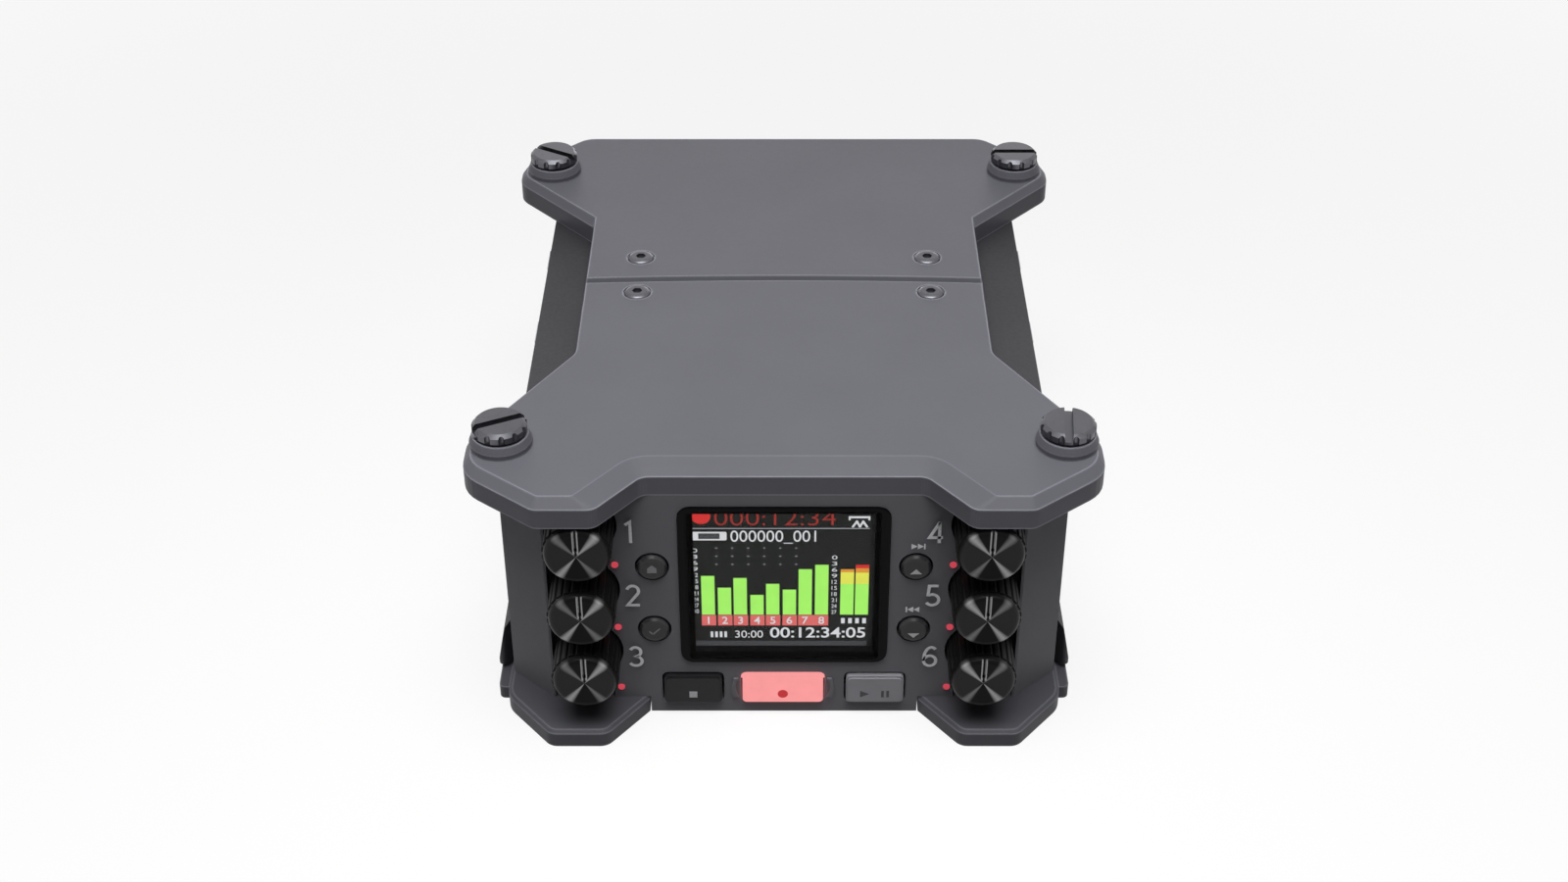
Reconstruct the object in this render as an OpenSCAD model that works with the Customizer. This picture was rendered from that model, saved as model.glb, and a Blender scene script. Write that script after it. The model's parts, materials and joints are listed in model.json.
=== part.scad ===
// Portable six-track field recorder: a flat metal case with horned and winged cover plates, a front
// panel with six gain knobs, a square display and keys, three XLR inputs on each side, and a rear
// battery bay. Millimetres. X is to the right, Y to the rear, Z up; the origin is the middle of the
// underside. Pieces that repeat left and right are drawn for the right side and mirrored.

/* [Case] */
// Width over the wings of the top covers
case_w = 100; // [98:0.5:106]
// Depth from the front of the horns to the rear edge
case_d = 120; // [118:1:128]
// Height of the top face above the underside
case_h = 49.8; // [49:0.2:53]
// Thickness of the top covers
cover_t = 5; // [4.6:0.1:6]
// Thickness of the bottom plate
floor_t = 3.2; // [2.8:0.1:3.6]
// Width between the outer faces of the side panels
body_w = 85.6; // [85:0.2:88]
// Drop of the bevel round the top face
bevel_h = 1.5; // [0.8:0.1:2]
// Narrowest width of the top covers, at the waist
waist_w = 70; // [66:1:74]

/* [Horns] */
// Distance that the horns stand ahead of the front panel
horn_reach = 8.6; // [8:0.2:10]
// Half distance between the inner corners of the two horns
horn_in = 28.9; // [28:0.1:30]
// Half distance between the outer corners of the two horns
horn_out = 38.2; // [37:0.1:40]
// Half width of the recess between the horns, at the panel
recess_half = 22.1; // [21:0.1:23]
// Rounding of the horn corners
horn_r = 2.5; // [1:0.1:3]

/* [Wings] */
// Depth of the slanted side of a front wing
wing_slant = 9.3; // [8:0.1:11]
// Straight outer side of a front wing
wing_flat = 8.6; // [7:0.1:10]
// Depth over which a front wing narrows to the waist
wing_taper = 25.1; // [22:0.1:28]
// Rounding of the front wing corners
wing_r = 7; // [4:0.5:7.5]
// Rounding of the waist corners behind the front wings
waist_r = 4; // [1:0.5:6]
// Half width of the straight rear edge of the case
rear_half = 38.7; // [36:0.1:40]
// Depth of the slanted side of a rear wing
rear_slant = 11.2; // [10:0.1:12]
// Straight outer side of a rear wing
rear_flat = 5.7; // [5:0.1:7]
// Depth over which a rear wing narrows to the waist
rear_taper = 16.7; // [15:0.1:18]
// Rounding of the rear wing corners
rear_r = 5; // [2:0.5:5.5]

/* [Cover seam] */
// Distance of the seam between the two top covers from the front
seam_at = 65; // [60:0.5:68]
// Gap between the two top covers
seam_gap = 0.35; // [0.1:0.05:0.6]
// Rise of the seam's arc at the middle
seam_bow = 0.9; // [0:0.1:2]
// Half spacing of the cover screws
screw_x = 25.5; // [22:0.5:29]
// Distance of the front cover's screws ahead of the seam
screw_ahead = 3.9; // [3.4:0.1:6]
// Distance of the rear cover's screws behind the seam
screw_behind = 8; // [4:0.1:9]
// Diameter of a cover screw's head
screw_head_d = 4.6; // [4:0.1:4.8]
// Diameter of a cover screw's thread
screw_d = 2; // [1.6:0.1:2.5]

/* [Front panel] */
// Thickness of the front panel
panel_t = 4; // [3.6:0.1:4.6]
// Half width of the flat face of the front panel
panel_half = 38.3; // [38:0.1:38.8]
// Half width over the slanted cheeks
cheek_half = 45.4; // [44.6:0.1:46]
// Depth of the slanted cheeks
cheek_d = 6.4; // [5.6:0.1:7.4]
// Wall of the cheeks
cheek_t = 2.4; // [2:0.1:3]

/* [Gain knobs] */
// Half distance between the two columns of knobs
knob_x = 32; // [31.8:0.1:32.2]
// Gap between the upper knobs and the top covers
knob_top_gap = 0.35; // [0.3:0.05:1]
// Gap between two knobs of a column
knob_gap = 2.05; // [1.6:0.05:2.6]
// Gap between the lower knobs and the bottom plate
knob_foot_gap = 4.75; // [4.2:0.05:5.2]
// Width of the rounded edge of a knob's face
knob_rim = 1.2; // [0.8:0.1:1.6]
// Distance of a knob's face ahead of the front panel
knob_reach = 8.4; // [7:0.1:8.5]
// Number of flutes round a knob
knob_flutes = 24; // [12:1:32]
// Diameter of a knob's shaft
shaft_d = 4; // [3:0.1:5]
// Gap between a knob and the side of its well
well_gap = 0.35; // [0.3:0.05:0.6]
// Depth of the wells in the front panel
well_h = 3; // [2.4:0.1:3.2]
// Thickness of the black lining of the wells
lining_t = 1; // [0.6:0.1:1.2]

/* [Display] */
// Width of the display frame
frame_w = 33.5; // [33:0.1:34.4]
// Gap between the display frame and the top covers
frame_top_gap = 2.3; // [1.8:0.1:2.8]
// Gap between the display frame and the bar keys below it
frame_foot_gap = 2.9; // [2.4:0.1:3.4]
// Width of the frame on the left and right of the picture
frame_side = 2.35; // [1.6:0.05:3]
// Width of the frame above and below the picture
frame_rim = 1.6; // [1.4:0.1:2.2]
// Thickness of the display frame
frame_t = 2.5; // [2.2:0.1:3]
// Thickness of the clear window
window_t = 1; // [0.8:0.1:1.2]

/* [Keys] */
// Diameter of the four round keys
key_d = 4.8; // [4:0.1:5.2]
// Gap round a key
key_gap = 0.35; // [0.25:0.05:0.6]
// Half distance between the columns of round keys
key_x = 21; // [20.6:0.1:21.3]
// Drop of the upper round keys below the upper knobs' axes
key_drop = 8.35; // [8:0.05:8.5]
// Travel of every key
key_travel = 0.6; // [0.3:0.05:0.8]
// Height of the three bar keys
bar_h = 5.6; // [4.6:0.1:5.9]
// Height of the middle of the bar keys above the underside
bar_z = 5.4; // [5.2:0.1:5.6]
// Width of the stop and play keys
bar_w = 9.5; // [8:0.1:10]
// Width of the record key
record_w = 13.3; // [12:0.1:14]
// Distance of the stop and play keys from the middle
bar_x = 15; // [14.6:0.1:15.2]
// Diameter of the status lights
light_d = 1.1; // [0.8:0.1:1.3]
// Drop of each status light below its knob's axis
light_drop = 7.95; // [7.8:0.05:8.2]
// Distance of each status light from its knob's axis, towards the display
light_side = 5.1; // [5:0.1:5.6]

/* [Thumb screws] */
// Diameter of a thumb screw's head
thumb_d = 8.7; // [8:0.1:9.2]
// Height of a thumb screw's head
thumb_h = 1.9; // [1.6:0.1:2.4]
// Width of the coin slot
thumb_slot = 1.3; // [1:0.1:1.6]
// Height of the collar under a thumb screw's head
collar_h = 2.2; // [1.6:0.1:2.6]
// Number of notches round the head
thumb_notches = 12; // [8:1:16]
// Distance of the front thumb screws from the wings' outer sides
thumb_in = 5.7; // [5.5:0.1:6.4]
// Distance of the rear thumb screws from the wings' outer sides
thumb_rear_in = 6.4; // [5.8:0.1:7]
// Distance of the front thumb screws from the front
thumb_y = 15.5; // [14.8:0.1:16.2]
// Distance of the rear thumb screws from the rear edge
thumb_rear_y = 14.6; // [14:0.1:15.2]

/* [Side panels] */
// Wall of the side panels
side_t = 2; // [1.6:0.1:2.4]
// Width of the ledge that carries the top covers
ledge_w = 9.4; // [8.6:0.1:10]
// Reach of the corner guards beyond the side panels
guard_reach = 5.4; // [4.8:0.1:5.6]
// Height of the corner guards
guard_h = 9; // [5:0.1:10]

/* [XLR inputs] */
// Outer diameter of an input socket
xlr_d = 22.6; // [22:0.1:22.8]
// Bore of an input socket, which takes a plug's nose
xlr_bore_d = 19.4; // [19.2:0.05:19.8]
// Diameter of the insert inside the socket
xlr_insert_d = 15.2; // [14.8:0.1:15.4]
// Depth of an input socket
xlr_h = 18.4; // [17:0.1:19]
// Distance between the inputs of one side
xlr_pitch = 25; // [24.4:0.1:25.6]
// Distance of the middle input behind the middle of the case
xlr_y = 2; // [1:0.5:3]
// Diameter of the holes for a plug's pins
pin_hole_d = 2.9; // [2.6:0.1:3.2]
// Height of a release tab
tab_h = 2.8; // [2.4:0.1:3]
// Travel of a release tab
tab_travel = 1.2; // [0.6:0.1:1.4]

/* [Ports] */
// Bore of the 3.5 mm jacks
jack_bore_d = 3.6; // [3.55:0.01:3.7]
// Outer diameter of a jack's barrel
jack_d = 6.4; // [5.6:0.1:7]
// Distance between the jacks
jack_pitch = 14; // [12:0.5:15]
// Diameter of the headphone dial
dial_d = 8.6; // [7:0.1:9.4]
// Distance of the headphone dial ahead of the middle of the case
dial_y = 21; // [19:0.5:22]
// Width of the USB-C port
usb_w = 9; // [8.9:0.05:9.2]
// Height of the USB-C port
usb_h = 3.3; // [3.2:0.05:3.4]
// Length of the memory card's cover
card_w = 28.6; // [27:0.1:30]
// Height of the memory card's cover
card_h = 7.6; // [7:0.1:7.8]
// Thickness of the memory card's cover
card_t = 1.1; // [0.9:0.05:1.2]

/* [Battery bay] */
// Diameter of an AA cell
cell_d = 14.2; // [14:0.1:14.5]
// Length of an AA cell with its button
cell_h = 50; // [49.2:0.1:50.5]
// Free space round each cell
cell_gap = 0.3; // [0.2:0.05:0.5]
// Wall of the battery bay
bay_t = 1.4; // [1:0.1:1.6]
// Thickness of the rear panel
rear_t = 3; // [2.8:0.1:3.4]
// Distance of the rear panel's face from the rear edge
rear_inset = 3.5; // [3.2:0.1:4]
// Thickness of the battery door
door_t = 2; // [1.6:0.1:2.2]

/* [Tripod bush] */
// Distance of the tripod bush ahead of the middle of the case
bush_ahead = 12; // [10:1:18]
// Bore of the tripod bush, for a 1/4 inch screw
bush_bore_d = 6.4; // [6.35:0.01:6.5]
// Outer diameter of the tripod bush
bush_d = 10; // [9:0.1:11]
// Depth of the tripod bush's thread
bush_h = 5.6; // [5:0.1:6.5]

/* [Hidden] */

$fn = 48;
tiny = 0.01;

// Clearance round a piece that seats in a cut, round a bushing, and round a screw's thread
fit = 0.1;
bushing_gap = 0.2;
screw_gap = 0.3;

// Segments in the arc of one rounded corner
corner_steps = 5;

// Colours
cover_grey = "#76767f";
panel_grey = "#45454a";
case_black = "#2b2b2e";
key_grey = "#5e5e66";
gloss_black = "#141417";
steel = "#b9bcc2";
board_green = "#1f5a3a";
brass = "#c9a24b";

// Main planes
front_y = -case_d / 2;
rear_y = case_d / 2;
panel_y = front_y + horn_reach;
panel_back = panel_y + panel_t;
cover_z = case_h - cover_t;
body_half = body_w / 2;
waist_half = waist_w / 2;
seam_y = front_y + seam_at;
rear_face = rear_y - rear_inset;
rear_inner = rear_face - rear_t;

// The knobs of a column share the height between the plates with their gaps
knob_pitch = (cover_z - floor_t - knob_top_gap - knob_foot_gap + knob_gap) / 3;
knob_d = knob_pitch - knob_gap;
knob_z = cover_z - knob_top_gap - knob_d / 2 - knob_pitch;
knob_face_d = knob_d - 2 * knob_rim;
well_d = knob_d + 2 * well_gap;
key_z = knob_z + knob_pitch - key_drop;

// The display fills the height between the bar keys and the top covers
frame_low = bar_z + bar_h / 2 + frame_foot_gap;
frame_h = cover_z - frame_top_gap - frame_low;
frame_z = frame_low + frame_h / 2;
view_w = frame_w - 2 * frame_side;
view_h = frame_h - 2 * frame_rim;

// The row of ports, the inputs and their tabs stand one above the other with equal gaps
side_gap = (cover_z - side_t - floor_t - card_h - xlr_d - tab_h) / 4;
port_z = floor_t + side_gap + card_h / 2;
xlr_z = port_z + card_h / 2 + side_gap + xlr_d / 2;
tab_z = xlr_z + xlr_d / 2 + side_gap + tab_h / 2;

// Inner face of the boards behind the inputs
input_board_x = 19;

// Cheeks
cheek_y = panel_y + cheek_d;
cheek_flat = 3;
cheek_end = cheek_y + cheek_flat;

// Bevel widths along the edges of the top covers
bevel_recess = 3.6;
bevel_horn = 1.7;
bevel_wing = 1.1;
bevel_waist = 0.4;
bevel_seam = 0.7;
bevel_rear = 1.3;
floor_bevel = 0.6;
floor_bevel_h = 0.6;

// ---------- Outlines ----------

function unit(v) = v / norm(v);
function side_normal(a, b) = let (d = unit(b - a)) [d.y, -d.x];
function cross2(a, b) = a.x * b.y - a.y * b.x;

// The corner b of the outline a, b, c, moved in by t1 along the edge a-b and t2 along b-c
function moved_corner(a, b, c, t1, t2) =
    let (n1 = side_normal(a, b), n2 = side_normal(b, c), k = n1 * n2)
    k > 0.9999 ? b - n1 * t2
    : b - (n1 * (t1 - t2 * k) + n2 * (t2 - t1 * k)) / (1 - k * k);

// The arc of radius r that rounds the corner b of the outline a, b, c
function corner_arc(a, b, c, r) =
    let (u = unit(a - b), v = unit(c - b), turn = cross2(b - a, c - b) > 0 ? 1 : -1,
         half = acos(u * v) / 2, centre = b + unit(u + v) * r / sin(half),
         start = b + u * r / tan(half) - centre, from = atan2(start.y, start.x),
         sweep = turn * (180 - 2 * half))
    [for (i = [0 : corner_steps])
        centre + r * [cos(from + sweep * i / corner_steps), sin(from + sweep * i / corner_steps)]];

// Both halves of an outline that is given by its right half, from the front centre to the rear
// centre, as corners [x, y, rounding, bevel of the edge that follows]
function both_halves(half, front_bevel) =
    concat(half, [for (i = [len(half) - 1 : -1 : 0])
        [-half[i][0], half[i][1], half[i][2], i > 0 ? half[i - 1][3] : front_bevel]]);

// Points of a cornered outline, moved in by share times the bevel of each edge
function outline(corners, share) =
    let (n = len(corners), at = [for (c = corners) [c[0], c[1]]],
         moved = [for (i = [0 : n - 1])
             moved_corner(at[(i + n - 1) % n], at[i], at[(i + 1) % n],
                          corners[(i + n - 1) % n][3] * share, corners[i][3] * share)])
    [for (i = [0 : n - 1])
        let (a = moved[(i + n - 1) % n], b = moved[i], c = moved[(i + 1) % n], r = corners[i][2],
             turn = cross2(b - a, c - b) > 0 ? 1 : -1,
             own = min(corners[i][3], corners[(i + n - 1) % n][3]) * share,
             radius = turn > 0 ? max(r - own, 0.2) : r + own)
        each (r == 0 ? [b] : corner_arc(a, b, c, radius))];

// Triangles that fill an outline of points: corners are cut off one at a time, each time the first
// one that turns out and holds no other point. ring lists the points that are left
function holds(p, a, b, c) =
    cross2(b - a, p - a) >= 0 && cross2(c - b, p - b) >= 0 && cross2(a - c, p - c) >= 0;
function cuts_off(points, ring, k) =
    let (n = len(ring), i = ring[(k + n - 1) % n], j = ring[(k + 1) % n],
         a = points[i], b = points[ring[k]], c = points[j])
    cross2(b - a, c - b) > 0
    && len([for (m = ring) if (m != i && m != j && m != ring[k] && holds(points[m], a, b, c)) m]) == 0;
function first_cut(points, ring, k = 0) =
    k == len(ring) - 1 || cuts_off(points, ring, k) ? k : first_cut(points, ring, k + 1);
function filled(points, ring) = len(ring) == 3 ? [ring]
    : let (n = len(ring), k = first_cut(points, ring))
      concat([[ring[(k + n - 1) % n], ring[k], ring[(k + 1) % n]]],
             filled(points, [for (i = [0 : n - 1]) if (i != k) ring[i]]));

// A plate between levels [z, share], each with the outline moved in by its share of the bevels
module lofted(corners, levels) {
    rings = [for (l = levels) outline(corners, l[1])];
    n = len(rings[0]);
    last = len(levels) - 1;
    points = [for (k = [0 : last]) for (p = rings[k]) [p.x, p.y, levels[k][0]]];
    all = [for (i = [0 : n - 1]) i];
    floor_faces = filled(rings[0], all);
    roof_faces = [for (t = filled(rings[last], all)) [for (i = [2 : -1 : 0]) last * n + t[i]]];
    walls = [for (k = [0 : last - 1]) for (i = [0 : n - 1])
        let (j = (i + 1) % n, low = k * n, high = low + n)
        each [[low + i, high + i, high + j], [low + i, high + j, low + j]]];
    polyhedron(points, concat(floor_faces, roof_faces, walls), convexity = 10);
}

// A flat rectangle with rounded corners, centred
module rounded_rect(w, h, r) {
    polygon(outline([[-w / 2, -h / 2, r, 0], [w / 2, -h / 2, r, 0], [w / 2, h / 2, r, 0],
                     [-w / 2, h / 2, r, 0]], 0));
}

// Moves to a point of the front panel's face, with local Z pointing out of the panel
module on_panel(x, z) {
    translate([x, panel_y, z]) rotate([90, 0, 0]) children();
}

// Moves to a point of the right side panel's face, with local Z pointing out of it
module on_side(y, z) {
    translate([body_half, y, z]) rotate([90, 0, 90]) children();
}

// Draws a piece of the right side on the left side
module to_left() {
    mirror([1, 0, 0]) children();
}

// ---------- Covers and floor ----------

front_wing_y = front_y + wing_slant;
front_waist_y = front_wing_y + wing_flat + wing_taper;
rear_wing_y = rear_y - rear_slant;
rear_waist_y = rear_wing_y - rear_flat - rear_taper;
seam_steps = 5;

// Seam arc from the waist to just short of the middle, as corners with no rounding
function seam_at_x(x) = seam_y + seam_bow * (1 - pow(x / waist_half, 2));
function seam_corners(offset) = [for (i = [0 : seam_steps])
    let (x = waist_half * (1 - i / (seam_steps + 0.5)))
    [x, seam_at_x(x) + offset, 0, bevel_seam]];

front_cover_half = concat([
    [recess_half, panel_y, horn_r, bevel_recess],
    [horn_in, front_y, horn_r, bevel_horn],
    [horn_out, front_y, horn_r, bevel_horn],
    [case_w / 2, front_wing_y, wing_r, bevel_wing],
    [case_w / 2, front_wing_y + wing_flat, wing_r, bevel_wing],
    [waist_half, front_waist_y, waist_r, bevel_waist]
], seam_corners(-seam_gap / 2));

rear_cover_half = concat(
    [for (i = [seam_steps : -1 : 0]) seam_corners(seam_gap / 2)[i]],
    [
        [waist_half, rear_waist_y, 0, bevel_wing],
        [case_w / 2, rear_wing_y - rear_flat, rear_r, bevel_wing],
        [case_w / 2, rear_wing_y, rear_r, bevel_wing],
        [rear_half, rear_y, rear_r, bevel_rear]
    ]);

// The seam's last corner leads along the waist, which has its own bevel
rear_cover_corners = both_halves([for (i = [0 : len(rear_cover_half) - 1])
    i == seam_steps ? [waist_half, rear_cover_half[i][1], 0, bevel_waist] : rear_cover_half[i]],
    bevel_seam);

cover_levels = [[cover_z, 0], [case_h - bevel_h, 0], [case_h, 1]];

// The collar stands straight at its foot and narrows to the head above it
collar_d = thumb_d + 1.2;
collar_top_d = thumb_d + 0.2;
collar_side_h = 0.9;
thumb_shank_d = 4;
thumb_shank_gap = 0.1;
thumb_front = [case_w / 2 - thumb_in, front_y + thumb_y];
thumb_rear = [case_w / 2 - thumb_rear_in, rear_y - thumb_rear_y];

insert_d = 6.4;

// Threaded insert in a wing, with a collar that the thumb screw's head sits on
module wing_insert() {
    difference() {
        rotate_extrude() polygon([
            [0, cover_z], [insert_d / 2, cover_z], [insert_d / 2, case_h], [collar_d / 2, case_h],
            [collar_d / 2, case_h + collar_side_h], [collar_top_d / 2, case_h + collar_h],
            [0, case_h + collar_h]
        ]);
        translate([0, 0, cover_z - 1])
            cylinder(d = thumb_shank_d + 2 * thumb_shank_gap, h = cover_t + collar_h + 2);
    }
}

module wing_inserts() {
    color(cover_grey) for (s = [-1, 1], at = [thumb_front, thumb_rear])
        translate([s * at.x, at.y, 0]) wing_insert();
}

module insert_hole(at) {
    translate([at.x, at.y, cover_z - 1]) cylinder(d = insert_d + fit, h = cover_t + 2);
}

screw_seat = 0.3;

// Hole for a cover screw, with a shallow seat for its head
module cover_screw_hole(x, y) {
    translate([x, y, cover_z - 1]) cylinder(d = screw_d + screw_gap, h = cover_t + 2);
    translate([x, y, case_h - screw_seat]) cylinder(d = screw_head_d + screw_gap, h = screw_seat + 1);
}

front_screw_y = seam_y - screw_ahead;
rear_screw_y = seam_y + screw_behind;
pocket_h = 2.6;
rib_t = 1.6;

// Hollow under a cover: a row of bays with ribs left between them
module cover_pockets(x_half, y0, y1, bays) {
    bay_w = (2 * x_half - (bays - 1) * rib_t) / bays;
    for (i = [0 : bays - 1])
        translate([-x_half + i * (bay_w + rib_t), y0, cover_z - 1]) cube([bay_w, y1 - y0, pocket_h + 1]);
}

bracket_half_w = 30.5;
bracket_h = 2;
bracket_margin = 3.2;

module front_top_cover() {
    color(cover_grey) difference() {
        lofted(both_halves(front_cover_half, bevel_recess), cover_levels);
        for (s = [-1, 1]) {
            insert_hole([s * thumb_front.x, thumb_front.y]);
            cover_screw_hole(s * screw_x, front_screw_y);
        }
        cover_pockets(waist_half - ledge_w - 1, panel_back + 2, front_screw_y - bracket_margin - 2, 3);
    }
}

module rear_top_cover() {
    color(cover_grey) difference() {
        lofted(rear_cover_corners, cover_levels);
        for (s = [-1, 1]) {
            insert_hole([s * thumb_rear.x, thumb_rear.y]);
            cover_screw_hole(s * screw_x, rear_screw_y);
        }
        cover_pockets(waist_half - ledge_w - 1, rear_screw_y + bracket_margin + 2, rear_inner - 2, 3);
    }
}

// Strip under the seam that both top covers are screwed to
module cover_bracket() {
    color(steel) difference() {
        translate([-bracket_half_w, front_screw_y - bracket_margin, cover_z - bracket_h])
            cube([2 * bracket_half_w, rear_screw_y - front_screw_y + 2 * bracket_margin, bracket_h]);
        for (s = [-1, 1], y = [front_screw_y, rear_screw_y])
            translate([s * screw_x, y, cover_z - bracket_h - 1])
                cylinder(d = screw_d + fit, h = bracket_h + 2);
    }
}

floor_side = cheek_half + 0.6;
guard_end = 24.6;
guard_y = front_y + guard_end;
guard_taper = 8;
floor_wing_t = 2.4;
floor_wing_half = body_half + guard_reach - 0.4;
floor_wing_start = 11.8;
floor_wing_front = front_y + floor_wing_start;
floor_notch = recess_half + 0.2;

floor_half = [
    [floor_notch, panel_back, 0, 0],
    [floor_notch, panel_y, 0, floor_bevel],
    [horn_in, front_y, horn_r, floor_bevel],
    [horn_out, front_y, horn_r, floor_bevel],
    [floor_side, front_wing_y, 5, floor_bevel],
    [floor_side, cheek_end, 0, 0],
    [body_half, cheek_end, 0, 0],
    [body_half, rear_wing_y, 3, floor_bevel],
    [rear_half, rear_y, 3, floor_bevel]
];

// Right wing of the floor, mirrored front to rear about the middle of the case
floor_wing = [
    [body_half - 4, floor_wing_front, 0, 0],
    [floor_wing_half, floor_wing_front, 1, 0],
    [floor_wing_half, guard_y - 2, 3, 0],
    [body_half, guard_y + guard_taper + 1, 0, 0],
    [body_half - 4, guard_y + guard_taper + 1, 0, 0]
];

// Places of the bottom screws: in from the side panels, behind the cheeks, ahead of the rear panel
bottom_screw_in = 5.8;
bottom_screw_behind = 6.2;
bottom_screw_ahead = 5.6;
bottom_screw_x = body_half - bottom_screw_in;
bottom_screw_front = cheek_end + bottom_screw_behind;
bottom_screw_rear = rear_inner - bottom_screw_ahead;
screw_sink = 1.2;
boss_w = 6;
boss_h = 8.6;
bush_flange_d = bush_d + 4;
bush_flange_t = 1.2;
bush_wall = 1;

module bottom_plate() {
    color(cover_grey) difference() {
        union() {
            lofted(both_halves(floor_half, 0), [[0, 0], [floor_t - floor_bevel_h, 0], [floor_t, 1]]);
            for (sx = [0, 1], sy = [0, 1])
                mirror([sx, 0, 0]) mirror([0, sy, 0])
                    linear_extrude(height = floor_wing_t) polygon(outline(floor_wing, 0));
        }
        translate([0, -bush_ahead, -1]) cylinder(d = bush_d + 2 * fit, h = floor_t + 2);
        for (sx = [-1, 1], y = [bottom_screw_front, bottom_screw_rear])
            translate([sx * bottom_screw_x, y, -1]) {
                cylinder(d = screw_d + screw_gap, h = floor_t + 2);
                translate([0, 0, 1 - tiny])
                    cylinder(d1 = screw_head_d + screw_gap, d2 = screw_d + screw_gap, h = screw_sink);
            }
    }
}

module tripod_bush() {
    color(steel) translate([0, -bush_ahead, 0]) difference() {
        union() {
            cylinder(d = bush_d, h = bush_h + bush_wall);
            translate([0, 0, floor_t]) cylinder(d = bush_flange_d, h = bush_flange_t);
        }
        translate([0, 0, -1]) cylinder(d = bush_bore_d, h = bush_h + 1);
    }
}

cross_w = 0.5;
cross_depth = 0.6;

// Countersunk screw with its head upwards, its top face at z = 0, and a cross recess
module flat_screw(length) {
    difference() {
        union() {
            translate([0, 0, -screw_sink]) cylinder(d1 = screw_d, d2 = screw_head_d, h = screw_sink);
            translate([0, 0, -length]) cylinder(d = screw_d, h = length - screw_sink + tiny);
        }
        for (a = [0, 90])
            rotate([0, 0, a]) translate([-screw_head_d * 0.3, -cross_w / 2, -cross_depth])
                cube([screw_head_d * 0.6, cross_w, 1]);
    }
}

screw_dome_h = 0.65;
socket_d = 1.8;
socket_rim_d = 3;
socket_depth = 0.5;

// Domed screw with its head standing on z = 0, and a hexagonal socket
module dome_screw(length) {
    difference() {
        rotate_extrude() polygon(concat(
            [[0, -length], [screw_d / 2, -length], [screw_d / 2, 0]],
            [for (i = [0 : corner_steps])
                [(socket_rim_d + (screw_head_d - socket_rim_d) * cos(90 * i / corner_steps)) / 2,
                 screw_dome_h * sin(90 * i / corner_steps)]],
            [[0, screw_dome_h]]));
        translate([0, 0, screw_dome_h - socket_depth])
            cylinder(d = socket_d, h = socket_depth + 1, $fn = 6);
    }
}

top_screw_l = cover_t - screw_seat + bracket_h - 0.4;
bottom_screw_l = floor_t + 4.6;

module case_screws() {
    color(gloss_black) for (sx = [-1, 1]) {
        for (y = [front_screw_y, rear_screw_y])
            translate([sx * screw_x, y, case_h - screw_seat]) dome_screw(top_screw_l);
        for (y = [bottom_screw_front, bottom_screw_rear])
            translate([sx * bottom_screw_x, y, 0.1]) mirror([0, 0, 1]) flat_screw(bottom_screw_l);
    }
}

// ---------- Front panel ----------

module panel_plan() {
    polygon([
        [-panel_half, panel_y], [panel_half, panel_y], [cheek_half, cheek_y],
        [cheek_half, cheek_end], [cheek_half - cheek_t, cheek_end],
        [cheek_half - cheek_t, cheek_y + 1], [panel_half - 0.4, panel_back],
        [-panel_half + 0.4, panel_back], [-cheek_half + cheek_t, cheek_y + 1],
        [-cheek_half + cheek_t, cheek_end], [-cheek_half, cheek_end], [-cheek_half, cheek_y]
    ]);
}

// Height of knob i of a column: 0 is the lower, 2 the upper
function knob_height(i) = knob_z + (i - 1) * knob_pitch;

// Edges of the slot that joins the wells of a column
slot_in = knob_x - 4;
slot_out = panel_half - 0.4;

// Outline of the right knob wells: a round one for each knob, and the slot from the floor to the cover
module well(gap) {
    for (i = [0 : 2]) translate([knob_x, knob_height(i)]) circle(d = well_d - 2 * gap);
    translate([slot_in + gap, floor_t - (gap > 0 ? 0 : 1)])
        square([slot_out - slot_in - 2 * gap, cover_z - floor_t + (gap > 0 ? 0 : 2)]);
}

// Lights stand in the panel's face, beside and below their knobs
light_x = knob_x - light_side;
light_reach = 0.4;
bushing_d = 6.6;

module light_positions() {
    for (s = [-1, 1], i = [0 : 2]) on_panel(s * light_x, knob_height(i) - light_drop) children();
}

// Round keys: [x, z] of the right column, upper and lower
module round_key_positions() {
    for (s = [-1, 1], i = [0, 1]) on_panel(s * key_x, key_z - i * knob_pitch) children();
}

// Display frame in the panel
frame_r = 2;
frame_seat = 2;
glass_edge = 1;

bar_keys = [[-bar_x, bar_w], [-0.2, record_w], [bar_x, bar_w]];
bar_r = 0.7;
key_flange = 0.9;
key_flange_t = 1;
ridge_w = 0.7;
ridge_h = 0.5;
ridge_l = 4;
ridge_r = 5;
ridge_gap = 1.15;

// Curved ridge to the right of the record key, with local Z out of the panel
module ridge() {
    translate([record_w / 2 + ridge_gap + ridge_w - ridge_r, 0, -tiny]) intersection() {
        difference() {
            cylinder(r = ridge_r, h = ridge_h + tiny);
            translate([0, 0, -1]) cylinder(r = ridge_r - ridge_w, h = ridge_h + 2);
        }
        translate([0, -ridge_l / 2, -1]) cube([ridge_r + 1, ridge_l, ridge_h + 2]);
    }
}

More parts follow.
